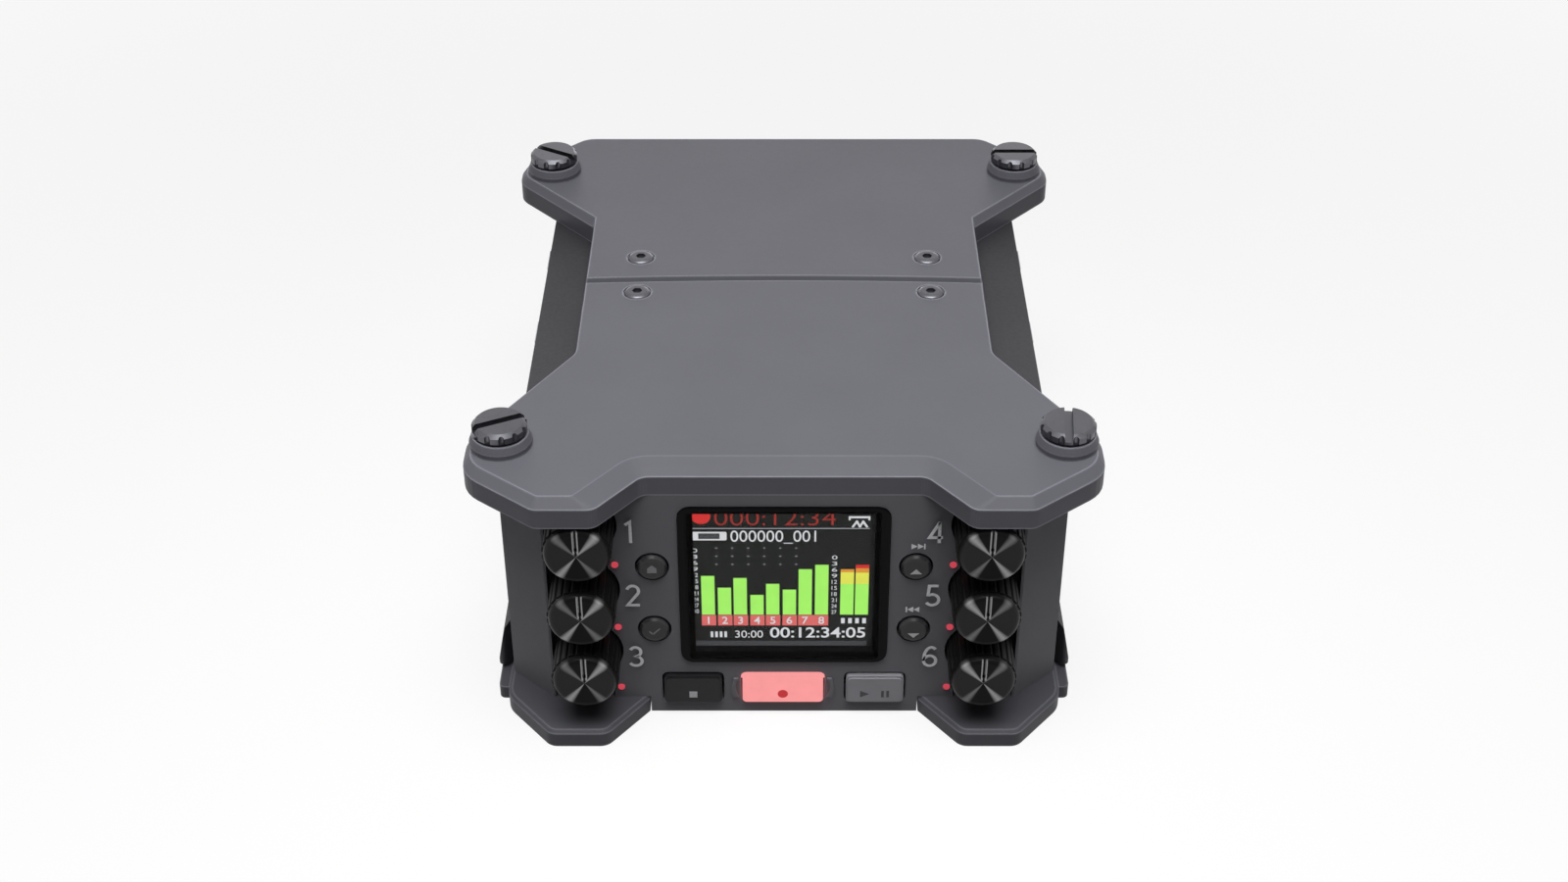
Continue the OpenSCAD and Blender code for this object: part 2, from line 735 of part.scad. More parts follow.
module front_panel() {
    color(panel_grey) difference() {
        union() {
            translate([0, 0, floor_t]) linear_extrude(height = cover_z - floor_t) panel_plan();
            translate([-recess_half, panel_y, 0]) cube([2 * recess_half, panel_t, floor_t + tiny]);
            for (s = [0, 1]) on_panel(bar_keys[1][0], bar_z) mirror([s, 0, 0]) ridge();
        }
        for (s = [0, 1]) mirror([s, 0, 0]) {
            on_panel(0, 0) translate([0, 0, -well_h]) linear_extrude(height = well_h + 1) well(0);
            for (i = [0 : 2]) on_panel(knob_x, knob_height(i))
                translate([0, 0, -panel_t - 1]) cylinder(d = bushing_d + bushing_gap, h = panel_t + 2);
        }
        light_positions() translate([0, 0, -panel_t - 1]) cylinder(d = light_d + fit, h = panel_t + 2);
        round_key_positions() translate([0, 0, -panel_t - 1])
            cylinder(d = key_d + 2 * key_gap, h = panel_t + 2);
        for (b = bar_keys) on_panel(b[0], bar_z) translate([0, 0, -panel_t - 1])
            linear_extrude(height = panel_t + 2)
                rounded_rect(b[1] + 2 * key_gap, bar_h + 2 * key_gap, bar_r + key_gap);
        on_panel(0, frame_z) translate([0, 0, -frame_seat]) linear_extrude(height = frame_seat + 1)
            rounded_rect(frame_w + 2 * fit, frame_h + 2 * fit, frame_r + fit);
        on_panel(0, frame_z) translate([0, 0, -panel_t - 1]) linear_extrude(height = panel_t + 2)
            square([view_w + glass_edge + 2 * fit, view_h + glass_edge + 2 * fit], center = true);
    }
}

// Black lining of the knob wells of one side, with a collar round each knob's bushing
module well_lining() {
    difference() {
        on_panel(0, 0) translate([0, 0, -well_h]) linear_extrude(height = lining_t) well(fit);
        for (i = [0 : 2]) on_panel(knob_x, knob_height(i)) translate([0, 0, -well_h - 1])
            cylinder(d = bushing_d + bushing_gap, h = lining_t + 2);
    }
}

module right_well_lining() {
    color(gloss_black) well_lining();
}

module left_well_lining() {
    color(gloss_black) to_left() well_lining();
}

module status_lights() {
    color("red") light_positions() rotate_extrude() polygon([
        [0, -panel_t], [light_d / 2, -panel_t], [light_d / 2, light_reach / 2],
        [light_d / 3, light_reach], [0, light_reach]]);
}

// ---------- Display ----------

frame_proud = frame_t - frame_seat;
window_rim = 1;
backlight_t = 2;

module display_frame() {
    color(gloss_black) on_panel(0, frame_z) difference() {
        translate([0, 0, -frame_seat]) linear_extrude(height = frame_t)
            rounded_rect(frame_w, frame_h, frame_r);
        translate([0, 0, -frame_seat - 1]) linear_extrude(height = frame_t + 2)
            square([view_w, view_h], center = true);
        translate([0, 0, frame_proud - window_t]) linear_extrude(height = window_t + 1)
            rounded_rect(view_w + 2 * window_rim, view_h + 2 * window_rim, window_rim);
    }
}

module display_window() {
    color("white", 0.2) on_panel(0, frame_z) translate([0, 0, frame_proud - window_t])
        linear_extrude(height = window_t - 0.1)
            rounded_rect(view_w + 2 * window_rim - 2 * fit, view_h + 2 * window_rim - 2 * fit,
                         window_rim - fit);
}

module display_panel() {
    color("#223322") on_panel(0, frame_z) {
        translate([0, 0, -panel_t]) linear_extrude(height = panel_t - frame_seat)
            square([view_w + glass_edge, view_h + glass_edge], center = true);
        translate([0, 0, -panel_t - backlight_t]) linear_extrude(height = backlight_t)
            square([frame_w, frame_h], center = true);
    }
}

// ---------- Knobs and keys ----------

knob_back = -well_h + lining_t + 0.5;
knob_cap_h = (knob_d - knob_face_d) / 2;
knob_dish = 0.15;
flute_depth = 0.22;
flute_points = 4;

// Outline of a fluted knob
function fluted(d) = [for (i = [0 : flute_points * knob_flutes - 1])
    let (a = i * 360 / (flute_points * knob_flutes),
         r = d / 2 - (i % flute_points == 0 ? flute_depth : 0))
    r * [cos(a), sin(a)]];

pot_h = 5.9;
pot_w = knob_d - 1.2;
pot_l = knob_d - 0.4;
shaft_gap = 0.05;

pointer_w = 0.55;
pointer_in = 1.2;
pointer_depth = 0.5;
shaft_end = 0.6;
pot_bore_end = 0.4;

// A knob on its shaft, with local Z along the axis and z = 0 at the panel's face
module knob() {
    difference() {
        union() {
            translate([0, 0, knob_back])
                linear_extrude(height = knob_reach - knob_cap_h - knob_back) polygon(fluted(knob_d));
            translate([0, 0, knob_reach - knob_cap_h - tiny]) rotate_extrude() polygon(concat(
                [[0, 0]],
                [for (i = [0 : corner_steps])
                    [knob_face_d / 2 + (knob_cap_h - flute_depth) * cos(90 * i / corner_steps),
                     knob_cap_h * sin(90 * i / corner_steps)]],
                [[0, knob_cap_h - knob_dish]]));
        }
        translate([-pointer_w / 2, pointer_in, knob_reach - pointer_depth])
            cube([pointer_w, knob_d / 2, 1]);
    }
    translate([0, 0, -panel_t - pot_h + shaft_end])
        cylinder(d = shaft_d, h = panel_t + pot_h - shaft_end + knob_back + tiny);
}

// Knobs 1 to 3 are the left column from the top, 4 to 6 the right column
module gain_knob(n) {
    color(gloss_black) on_panel(n <= 3 ? -knob_x : knob_x, knob_height(2 - (n - 1) % 3)) knob();
}

// A pot behind the panel, with local Z along its axis
module pot() {
    difference() {
        union() {
            translate([-pot_w / 2, -pot_l / 2, -panel_t - pot_h]) cube([pot_w, pot_l, pot_h]);
            translate([0, 0, -panel_t - tiny])
                cylinder(d = bushing_d, h = panel_t - well_h + lining_t + bushing_gap);
        }
        translate([0, 0, -panel_t - pot_h + pot_bore_end])
            cylinder(d = shaft_d + 2 * shaft_gap, h = panel_t + pot_h);
    }
}

round_key_reach = key_travel + 0.1;
key_flange_z = -panel_t - key_flange_t - 0.2;
dome_t = 0.6;
stem_d = 2;
stem_end = -panel_t - pot_h + dome_t + 0.8;

// A round key with local Z out of the panel
module round_key() {
    rotate_extrude() polygon([
        [0, key_flange_z], [key_d / 2 + key_flange, key_flange_z],
        [key_d / 2 + key_flange, key_flange_z + key_flange_t],
        [key_d / 2, key_flange_z + key_flange_t], [key_d / 2, round_key_reach - 0.5],
        [key_d / 2 - 0.35, round_key_reach - 0.1], [key_d / 2 - 0.8, round_key_reach],
        [0, round_key_reach]
    ]);
    translate([0, 0, stem_end]) cylinder(d = stem_d, h = key_flange_z - stem_end + tiny);
}

bar_reach = 1;

// A bar key of the given width; its flange stands clear of the floor
module bar_key(w) {
    body_from = -panel_t + key_travel + 0.4;
    low = floor_t + 0.4 - bar_z;
    translate([0, 0, body_from]) linear_extrude(height = bar_reach - 0.3 - body_from)
        rounded_rect(w, bar_h, bar_r);
    translate([0, 0, bar_reach - 0.3 - tiny]) linear_extrude(height = 0.3 + tiny)
        rounded_rect(w - 0.6, bar_h - 0.6, bar_r - 0.1);
    translate([-w / 2 + bar_r, low, key_flange_z + tiny])
        cube([w - 2 * bar_r, bar_h / 2 - low, body_from - key_flange_z]);
    translate([-w / 2 - key_flange, low, key_flange_z])
        cube([w + 2 * key_flange, bar_h / 2 + key_flange - low, key_flange_t]);
    translate([0, 0, stem_end]) cylinder(d = stem_d, h = key_flange_z - stem_end + tiny);
}

module round_key_at(x, row) {
    color(key_grey) on_panel(x, key_z - row * knob_pitch) round_key();
}

module bar_key_at(i, tint) {
    color(tint) on_panel(bar_keys[i][0], bar_z) bar_key(bar_keys[i][1]);
}

// ---------- Boards behind the panel ----------

board_t = 1.5;
board_y = panel_back + pot_h;
board_clear = 2.6;
board_gap = 0.3;

module control_board() {
    color(board_green)
        translate([-knob_x - pot_w / 2, board_y, floor_t + board_clear])
            cube([2 * knob_x + pot_w, board_t, cover_z - floor_t - 2 * board_clear]);
}

module key_switches() {
    color(steel) {
        round_key_positions() translate([0, 0, -panel_t - pot_h]) cylinder(d = 2 * stem_d, h = dome_t);
        for (b = bar_keys) on_panel(b[0], bar_z + 1) translate([0, 0, -panel_t - pot_h])
            cylinder(d = 2 * stem_d, h = dome_t);
    }
}

module pots() {
    color(steel) {
        for (s = [-1, 1], i = [0 : 2]) on_panel(s * knob_x, knob_height(i)) pot();
        on_side(-dial_y, port_z) dial_pot();
    }
}

main_board_gap = 1;
main_board_half = input_board_x - main_board_gap;
main_board_z = bush_h + bush_wall + 4;
main_board_front = board_y + board_t + main_board_gap;
standoff_d = 4;
standoff_in = 4;
chip_w = 9;
chip_x = 8;
chip_t = 1.2;

// Board on four standoffs between the input boards, ahead of the battery bay
module main_board() {
    back = bay_front - bay_t - main_board_gap;
    middle = (main_board_front + back) / 2;
    color(board_green) {
        translate([-main_board_half, main_board_front, main_board_z])
            cube([2 * main_board_half, back - main_board_front, board_t]);
        for (sx = [-1, 1], sy = [-1, 1])
            translate([sx * chip_x - chip_w / 2, middle + sy * chip_x - chip_w / 2,
                       main_board_z + board_t - tiny])
                cube([chip_w, chip_w, chip_t]);
        for (sx = [-1, 1], y = [main_board_front + standoff_in, back - standoff_in])
            translate([sx * (main_board_half - standoff_in), y, floor_t])
                cylinder(d = standoff_d, h = main_board_z - floor_t + tiny);
    }
}

// ---------- Side panels ----------

// The guard starts ahead of the cheeks' ends
guard_lead = 2.6;

// Plan of a corner guard, which stands on the floor ahead of the inputs
guard_plan = [
    [body_half - 1, cheek_end + 2, 0, 0],
    [cheek_half + 0.4, cheek_end, 0, 0],
    [body_half + guard_reach, cheek_end - guard_lead, 0.8, 0],
    [body_half + guard_reach, guard_y, 2, 0],
    [body_half - 1, guard_y + guard_taper, 0, 0]
];

guard_foot_h = 0.8;
guard_lean = 1.3;
guard_bevel_h = 1.4;

// The guard leans in towards its top, and its bevel leans in as much again
guard_profile = [
    [body_half - 1, floor_t],
    [body_half + guard_reach, floor_t],
    [body_half + guard_reach, floor_t + guard_foot_h],
    [body_half + guard_reach - guard_lean, floor_t + guard_h - guard_bevel_h],
    [body_half + guard_reach - 2 * guard_lean, floor_t + guard_h],
    [body_half - 1, floor_t + guard_h]
];

module corner_guard() {
    intersection() {
        linear_extrude(height = cover_z) polygon(outline(guard_plan, 0));
        rotate([90, 0, 0]) linear_extrude(height = case_d, center = true) polygon(guard_profile);
    }
}

function xlr_at(i) = xlr_y + (i - 1) * xlr_pitch;

xlr_gap = 0.1;
tab_w = 6.4;
tab_gap = 0.25;
tab_sink = 0.3;
tab_reach = tab_travel - tab_sink;
tab_flange_t = 1;
tab_flange = 1;

module xlr_positions() {
    for (i = [0 : 2]) on_side(xlr_at(i), xlr_z) children();
}

// Side panel of the right side without its ports: wall, ledge, corner guards and screw bosses
module side_shell() {
    y0 = cheek_end + fit;
    y1 = rear_inner;
    ledge_y = board_y + board_t + board_gap;
    difference() {
        union() {
            translate([body_half - side_t, y0, floor_t]) cube([side_t, y1 - y0, cover_z - floor_t]);
            translate([body_half - ledge_w, ledge_y, cover_z - side_t])
                cube([ledge_w, y1 - ledge_y, side_t]);
            for (s = [0, 1]) mirror([0, s, 0]) corner_guard();
            for (y = [bottom_screw_front, bottom_screw_rear])
                translate([bottom_screw_x - boss_w / 2, y - boss_w / 2, floor_t])
                    cube([boss_w + 1, boss_w, boss_h]);
        }
        xlr_positions() translate([0, 0, -side_t - 1]) cylinder(d = xlr_d + 2 * xlr_gap, h = side_t + 2);
        for (i = [0 : 2]) on_side(xlr_at(i), tab_z)
            translate([0, 0, -side_t / 2]) cube([tab_w + 2 * tab_gap, tab_h + 2 * tab_gap, side_t + 2],
                                                center = true);
        for (y = [bottom_screw_front, bottom_screw_rear])
            translate([bottom_screw_x, y, floor_t - 1]) cylinder(d = screw_d + fit, h = boss_h - 1);
    }
}

function jack_at(i) = -dial_y + (i + 1) * jack_pitch;

module right_side_panel() {
    color(case_black) difference() {
        side_shell();
        for (i = [0 : 2]) on_side(jack_at(i), port_z) translate([0, 0, -side_t - 1])
            cylinder(d = jack_d + 2 * fit, h = side_t + 2);
        on_side(-dial_y, port_z) translate([0, 0, -side_t - 1])
            cylinder(d = bushing_d + bushing_gap, h = side_t + 2);
    }
}

card_y = -13;
card_z = port_z;
hinge_r = 0.7;
hinge_pin_r = 0.4;
card_gap = 0.25;
card_slot_w = 24.4;
card_slot_h = 2.4;
usb_y = 9;
switch_y = 23;
switch_w = 4.6;
switch_h = 2.8;
switch_travel = 2.2;
switch_gap = 0.3;
card_slot_gap = 0.4;
card_pin_l = 1.2;
pin_gap = 0.05;
usb_recess = 1.7;
usb_recess_depth = 0.6;

// Places a piece in the card cover's frame: local X along the case, local Y up, local Z outwards,
// with the origin at the middle of the cover's lower edge
module on_card() {
    on_side(card_y, card_z - card_h / 2) children();
}

module left_side_panel() {
    color(case_black) to_left() difference() {
        side_shell();
        on_card() translate([-card_w / 2 - card_gap, -card_gap, -card_t - card_gap])
            cube([card_w + 2 * card_gap, card_h + 2 * card_gap, card_t + 2]);
        on_card() translate([-card_w / 2 - card_gap, hinge_r, -hinge_r])
            rotate([0, 90, 0]) cylinder(r = hinge_r + card_gap, h = card_w + 2 * card_gap);
        on_card() translate([-card_w / 2 - card_pin_l, hinge_r, -hinge_r])
            rotate([0, 90, 0]) cylinder(r = hinge_pin_r + pin_gap, h = card_w + 2 * card_pin_l);
        on_side(card_y, card_z) translate([0, 0, -side_t - 1]) linear_extrude(height = side_t + 2)
            square([card_slot_w + 2 * card_slot_gap, card_slot_h + 2 * card_slot_gap], center = true);
        on_side(usb_y, port_z) translate([0, 0, -side_t - 1]) linear_extrude(height = side_t + 2)
            rounded_rect(usb_w + 2 * fit, usb_h + 2 * fit, usb_h / 2);
        on_side(usb_y, port_z) translate([0, 0, -usb_recess_depth]) linear_extrude(height = 2)
            rounded_rect(usb_w + 2 * usb_recess, usb_h + 2 * usb_recess, usb_h / 2 + usb_recess - tiny);
        on_side(switch_y, port_z) translate([0, 0, -side_t - 1]) linear_extrude(height = side_t + 2)
            rounded_rect(switch_w + 2 * (switch_travel + switch_gap), switch_h + 2 * switch_gap,
                         2 * switch_gap);
    }
}

// ---------- Inputs ----------

xlr_proud = 0.6;
xlr_floor = 2;
insert_recess = 1.2;
pin_circle_r = 4.2;

module input_shells() {
    xlr_positions() difference() {
        translate([0, 0, xlr_proud - xlr_h]) cylinder(d = xlr_d, h = xlr_h);
        translate([0, 0, xlr_proud - xlr_h + xlr_floor]) cylinder(d = xlr_bore_d, h = xlr_h);
        translate([0, 0, xlr_proud - xlr_h - 1]) cylinder(d = xlr_insert_d - 3, h = xlr_floor + 2);
    }
}

module right_input_shells() {
    color(case_black) input_shells();
}

module left_input_shells() {
    color(case_black) to_left() input_shells();
}

insert_l = xlr_h - xlr_floor - insert_recess;

// Angles of the three contacts: two above, one below
pin_angles = [30, 150, 270];

module pin_positions() {
    for (a = pin_angles) rotate([0, 0, a]) translate([pin_circle_r, 0, 0]) children();
}

module input_inserts() {
    xlr_positions() translate([0, 0, xlr_proud - xlr_h + xlr_floor]) difference() {
        cylinder(d = xlr_insert_d, h = insert_l);
        pin_positions() translate([0, 0, -1]) cylinder(d = contact_d + fit, h = insert_l + 2);
        translate([-1.1, xlr_insert_d / 2 - 1.2, 1]) cube([2.2, 2, insert_l]);
    }
}

contact_d = pin_hole_d + 0.6;

module right_input_inserts() {
    color(gloss_black) input_inserts();
}

module left_input_inserts() {
    color(gloss_black) to_left() input_inserts();
}

tail_d = 1.2;

// Sprung sockets for the plug's pins, with tails that reach the input board
module contact_set() {
    tail_l = body_half + xlr_proud - xlr_h + xlr_floor - input_board_x - board_t;
    xlr_positions() translate([0, 0, xlr_proud - xlr_h + xlr_floor]) pin_positions() {
        difference() {
            cylinder(d = contact_d, h = insert_l - 0.6);
            translate([0, 0, 1]) cylinder(d = pin_hole_d, h = insert_l);
        }
        translate([0, 0, -tail_l]) cylinder(d = tail_d, h = tail_l + tiny);
    }
}

module input_contacts() {
    color(brass) {
        contact_set();
        to_left() contact_set();
    }
}

module input_boards() {
    color(board_green) for (s = [0, 1]) mirror([s, 0, 0])
        translate([input_board_x, xlr_at(0) - xlr_d / 2, xlr_z - xlr_d / 2])
            cube([board_t, 2 * xlr_pitch + xlr_d, xlr_d]);
}

tab_rib_gap = 1.4;
tab_rib_w = 0.4;
tab_rib_h = 0.25;

// Release tab of input i on the right side, with a flange behind the wall and two grooves
module release_tab(i) {
    back = -side_t - tab_flange_t;
    on_side(xlr_at(i), tab_z) difference() {
        union() {
            translate([-tab_w / 2, -tab_h / 2, back]) cube([tab_w, tab_h, tab_reach - back]);
            translate([-tab_w / 2 - tab_flange, -tab_h / 2, back - fit])
                cube([tab_w + 2 * tab_flange, tab_h, tab_flange_t]);
        }
        for (s = [-1, 1])
            translate([-tab_w / 2 + tab_flange, s * tab_rib_gap / 2 - tab_rib_w / 2, tab_reach - tab_rib_h])
                cube([tab_w - 2 * tab_flange, tab_rib_w, 1]);
    }
}

// Inputs 1 to 3 are on the left from the front, 4 to 6 on the right
module release_tab_n(n) {
    color(steel) if (n <= 3) to_left() release_tab(n - 1);
    else release_tab(n - 4);
}

// ---------- Ports ----------

jack_l = 11;

module minijacks() {
    color(gloss_black) for (i = [0 : 2]) on_side(jack_at(i), port_z) difference() {
        union() {
            translate([0, 0, -side_t - 1]) cylinder(d = jack_d, h = side_t + 1.3);
            translate([-jack_d / 2 - 0.6, -jack_d / 2, -jack_l - 1.5])
                cube([jack_d + 1.2, jack_d, jack_l + 1.5 - side_t]);
        }
        translate([0, 0, -jack_l]) cylinder(d = jack_bore_d, h = jack_l + 2);
    }
}

usb_depth = 8;
usb_sink = 0.6;
usb_wall = 0.3;
usb_tongue_w = 6.7;
usb_tongue_t = 0.7;
usb_flange = 1;

// Opening of the port's shell, with local Z outwards
module usb_bore() {
    rounded_rect(usb_w - 2 * usb_wall, usb_h - 2 * usb_wall, usb_h / 2 - 2 * usb_wall + usb_wall / 2);
}

module usb_port() {
    color(steel) to_left() on_side(usb_y, port_z) {
        difference() {
            union() {
                translate([0, 0, -usb_depth]) linear_extrude(height = usb_depth - usb_sink)
                    rounded_rect(usb_w, usb_h, usb_h / 2 - fit);
                translate([0, 0, -side_t - usb_flange]) linear_extrude(height = usb_flange)
                    rounded_rect(usb_w + 2 * usb_flange, usb_h + 2 * usb_flange, usb_flange);
            }
            translate([0, 0, -usb_depth + 1]) linear_extrude(height = usb_depth) usb_bore();
        }
        translate([-usb_tongue_w / 2, -usb_tongue_t / 2, -usb_depth + tiny])
            cube([usb_tongue_w, usb_tongue_t, usb_depth - 2]);
    }
}

card_slot_depth = 20;

module card_slot() {
    color(steel) to_left() on_side(card_y, card_z) difference() {
        translate([0, 0, -side_t - card_slot_depth / 2])
            cube([card_slot_w + 1.4, card_slot_h + 1.2, card_slot_depth], center = true);
        translate([0, 0, -side_t - card_slot_depth / 2 + 1])
            cube([card_slot_w, card_slot_h, card_slot_depth + 1], center = true);
    }
}

// Cover of the memory card slot, hinged on two pins along its lower edge
module card_cover() {
    color(case_black) to_left() on_card() {
        translate([-card_w / 2, hinge_r, -card_t]) cube([card_w, card_h - hinge_r, card_t]);
        translate([-card_w / 2, hinge_r, -hinge_r]) rotate([0, 90, 0]) cylinder(r = hinge_r, h = card_w);
        translate([-card_w / 2 - 1, hinge_r, -hinge_r]) rotate([0, 90, 0])
            cylinder(r = hinge_pin_r, h = card_w + 2);
        translate([-3, card_h - 1.4, -tiny]) cube([6, 0.7, 0.5]);
    }
}

switch_reach = 0.7;
switch_flange = 1;
switch_rib = 0.5;

module power_switch() {
    back = -side_t - switch_flange - fit;
    color(steel) to_left() on_side(switch_y, port_z) {
        translate([0, 0, back]) linear_extrude(height = switch_reach - back)
            rounded_rect(switch_w, switch_h, switch_rib);
        translate([-switch_w / 2 - switch_travel - switch_flange, -switch_h / 2 - switch_flange, back])
            cube([switch_w + 2 * (switch_travel + switch_flange), switch_h + 2 * switch_flange,
                  switch_flange]);
        for (i = [-1 : 1])
            translate([(i * 2.4 - 1) * switch_rib, switch_rib - switch_h / 2, switch_reach - tiny])
                cube([switch_rib, switch_h - 2 * switch_rib, switch_rib]);
    }
}

dial_reach = 4;
dial_pot_h = 6;

module dial_pot() {
    difference() {
        union() {
            translate([-pot_w / 2, -3.8, -side_t - dial_pot_h]) cube([pot_w, 7.6, dial_pot_h]);
            translate([0, 0, -side_t - tiny]) cylinder(d = bushing_d, h = side_t);
        }
        translate([0, 0, -side_t - dial_pot_h + 0.4])
            cylinder(d = shaft_d + 2 * shaft_gap, h = side_t + dial_pot_h);
    }
}

module headphone_dial() {
    color(gloss_black) on_side(-dial_y, port_z) {
        difference() {
            translate([0, 0, 0.4]) linear_extrude(height = dial_reach - 0.4)
                polygon(fluted(dial_d));
            translate([-0.3, 0.8, dial_reach - 0.4]) cube([0.6, dial_d, 1]);
        }
        translate([0, 0, -side_t - dial_pot_h + 0.6]) cylinder(d = shaft_d, h = side_t + dial_pot_h);
    }
}

// ---------- Rear ----------

cell_step = cell_d + cell_gap;
bay_w = 2 * cell_d + 3 * cell_gap;
bay_z = floor_t + 3.4;
bay_back = rear_face - door_t;
contact_t = 0.5;
contact_gap = 0.5;
bay_front = bay_back - cell_h - 2 * (contact_t + contact_gap);
bay_mid_z = bay_z + bay_w / 2;
door_lip = 2.2;
door_half = bay_w / 2 + door_lip;
door_low = bay_z - 1.9;
door_high = bay_z + bay_w + door_lip;
door_hinge_r = 1.1;
door_pin_r = 0.6;
door_hinge_x = -door_half - 0.5;
door_hinge_y = rear_face - 0.2;
door_gap = 0.25;
door_pin_l = 1;
door_notch = 10;
lug_x = 27;
lug_w = 6;
lug_t = 1.3;
lug_h = 2.6;
lug_lip = 1.2;

// Hook that holds a camcorder battery's edge; local Z rearwards, the lip towards local +Y
module battery_lug() {
    translate([-lug_w / 2, 0, -tiny]) cube([lug_w, lug_t, lug_h]);
    translate([-lug_w / 2, 0, lug_h - lug_t + 0.2]) cube([lug_w, lug_t + lug_lip, lug_t - 0.2]);
}

module on_rear(x, z) {
    translate([x, rear_face, z]) rotate([90, 0, 180]) children();
}

module rear_panel() {
    color(case_black) difference() {
        union() {
            translate([-body_half, rear_inner, floor_t]) cube([body_w, rear_t, cover_z - floor_t]);
            translate([-bay_w / 2 - bay_t, bay_front - bay_t, bay_z - bay_t])
                cube([bay_w + 2 * bay_t, bay_back - bay_front + bay_t, bay_w + 2 * bay_t]);
            for (sx = [-1, 1]) {
                on_rear(sx * lug_x, floor_t + 0.8) battery_lug();
                on_rear(sx * lug_x, cover_z - 0.8) mirror([0, 1, 0]) battery_lug();
            }
        }
        translate([-bay_w / 2, bay_front, bay_z]) cube([bay_w, case_d, bay_w]);
        translate([door_hinge_x - door_gap, rear_face - door_t - door_gap, door_low - door_gap])
            cube([door_half - door_hinge_x + 2 * door_gap, door_t + 1,
                  door_high - door_low + 2 * door_gap]);
        translate([door_hinge_x, door_hinge_y, door_low - door_gap])
            cylinder(r = door_hinge_r + door_gap, h = door_high - door_low + 2 * door_gap);
        translate([door_hinge_x, door_hinge_y, door_low - door_pin_l - fit])
            cylinder(r = door_pin_r + fit / 2, h = door_high - door_low + 2 * (door_pin_l + fit));
        translate([door_half, rear_face - 0.9, bay_mid_z - door_notch / 2])
            cube([door_lip + door_gap, 2, door_notch]);
    }
}

grip_ribs = 5;
grip_pitch = 2;
grip_w = 4.5;
pad_l = 10;
pad_w = 8;

// Door on two pins at its left edge, with finger grooves outside and contact pads inside
module battery_door() {
    h = door_high - door_low;
    color(case_black) {
        difference() {
            translate([door_hinge_x, rear_face - door_t, door_low])
                cube([door_half - door_hinge_x, door_t, h]);
            for (i = [0 : grip_ribs - 1])
                translate([door_half - grip_w - 1.5, rear_face - 0.5,
                           bay_mid_z + (i - (grip_ribs - 1) / 2) * grip_pitch - grip_pitch / 5])
                    cube([grip_w, 1, grip_pitch * 0.4]);
        }
        translate([door_hinge_x, door_hinge_y, door_low]) cylinder(r = door_hinge_r, h = h);
        translate([door_hinge_x, door_hinge_y, door_low - door_pin_l])
            cylinder(r = door_pin_r, h = h + 2 * door_pin_l);
        for (z = [-1, 1])
            translate([-(cell_step + pad_l) / 2, rear_face - door_t - contact_t,
                       bay_mid_z + z * cell_step / 2 - pad_w / 2])
                cube([cell_step + pad_l, contact_t + tiny, pad_w]);
    }
}

module cell() {
    cylinder(d = cell_d, h = cell_h - 1.2);
    translate([0, 0, cell_h - 1.2 - tiny]) cylinder(d = 5.2, h = 1.2);
}

module battery_cells() {
    color("#b0863c") for (i = [-1, 1], j = [-1, 1])
        translate([i * cell_step / 2, bay_front + contact_t + contact_gap, bay_mid_z + j * cell_step / 2])
            if (i * j > 0) rotate([-90, 0, 0]) cell();
            else translate([0, cell_h, 0]) rotate([90, 0, 0]) cell();
}

terminal_x = 33;
blade_pitch = 7;
blade_w = 4;
blade_l = 2.4;
blade_t = 0.8;

// Contact plates at the front end of the bay, and the three blades for a camcorder battery
module battery_contacts() {
    color(brass) {
        for (i = [-1, 1]) {
            translate([i * cell_step / 2 - 5, bay_front, bay_z + 1.2]) cube([10, contact_t, bay_w - 2.4]);
            for (j = [-1, 1]) translate([i * cell_step / 2, bay_front, bay_mid_z + j * cell_step / 2])
                rotate([-90, 0, 0]) cylinder(d1 = 6.4, d2 = 4.8, h = contact_t + contact_gap);
        }
        for (i = [-1 : 1]) translate([terminal_x, rear_face, bay_mid_z + i * blade_pitch - blade_t / 2])
            cube([blade_w, blade_l, blade_t]);
    }
}

// ---------- Thumb screws ----------

head_rest = 0.2;
head_edge = 0.3;
shank_end = 0.6;
slot_depth = 1.1;
notch_d = 1;
notch_foot = 0.5;

// A thumb screw with z = 0 at the top of its collar
module thumb_screw(slot_turn) {
    rotate([0, 0, slot_turn]) difference() {
        union() {
            translate([0, 0, head_rest]) rotate_extrude() polygon([
                [0, 0], [thumb_d / 2 - head_edge, 0], [thumb_d / 2, head_edge],
                [thumb_d / 2, thumb_h - 2 * head_edge], [thumb_d / 2 - 2 * head_edge, thumb_h],
                [0, thumb_h]]);
            translate([0, 0, shank_end - cover_t - collar_h])
                cylinder(d = thumb_shank_d, h = cover_t + collar_h);
        }
        translate([-thumb_d, -thumb_slot / 2, head_rest + thumb_h - slot_depth])
            cube([2 * thumb_d, thumb_slot, thumb_h]);
        for (i = [0 : thumb_notches - 1])
            rotate([0, 0, (i + 0.5) * 360 / thumb_notches])
                translate([thumb_d / 2 + notch_d * 0.15, 0, notch_foot])
                    cylinder(d = notch_d, h = thumb_h, $fn = 16);
    }
}

module thumb_screw_at(at, side, slot_turn) {
    color(gloss_black) translate([side * at.x, at.y, case_h + collar_h]) thumb_screw(slot_turn);
}

// ---------- Assembly ----------

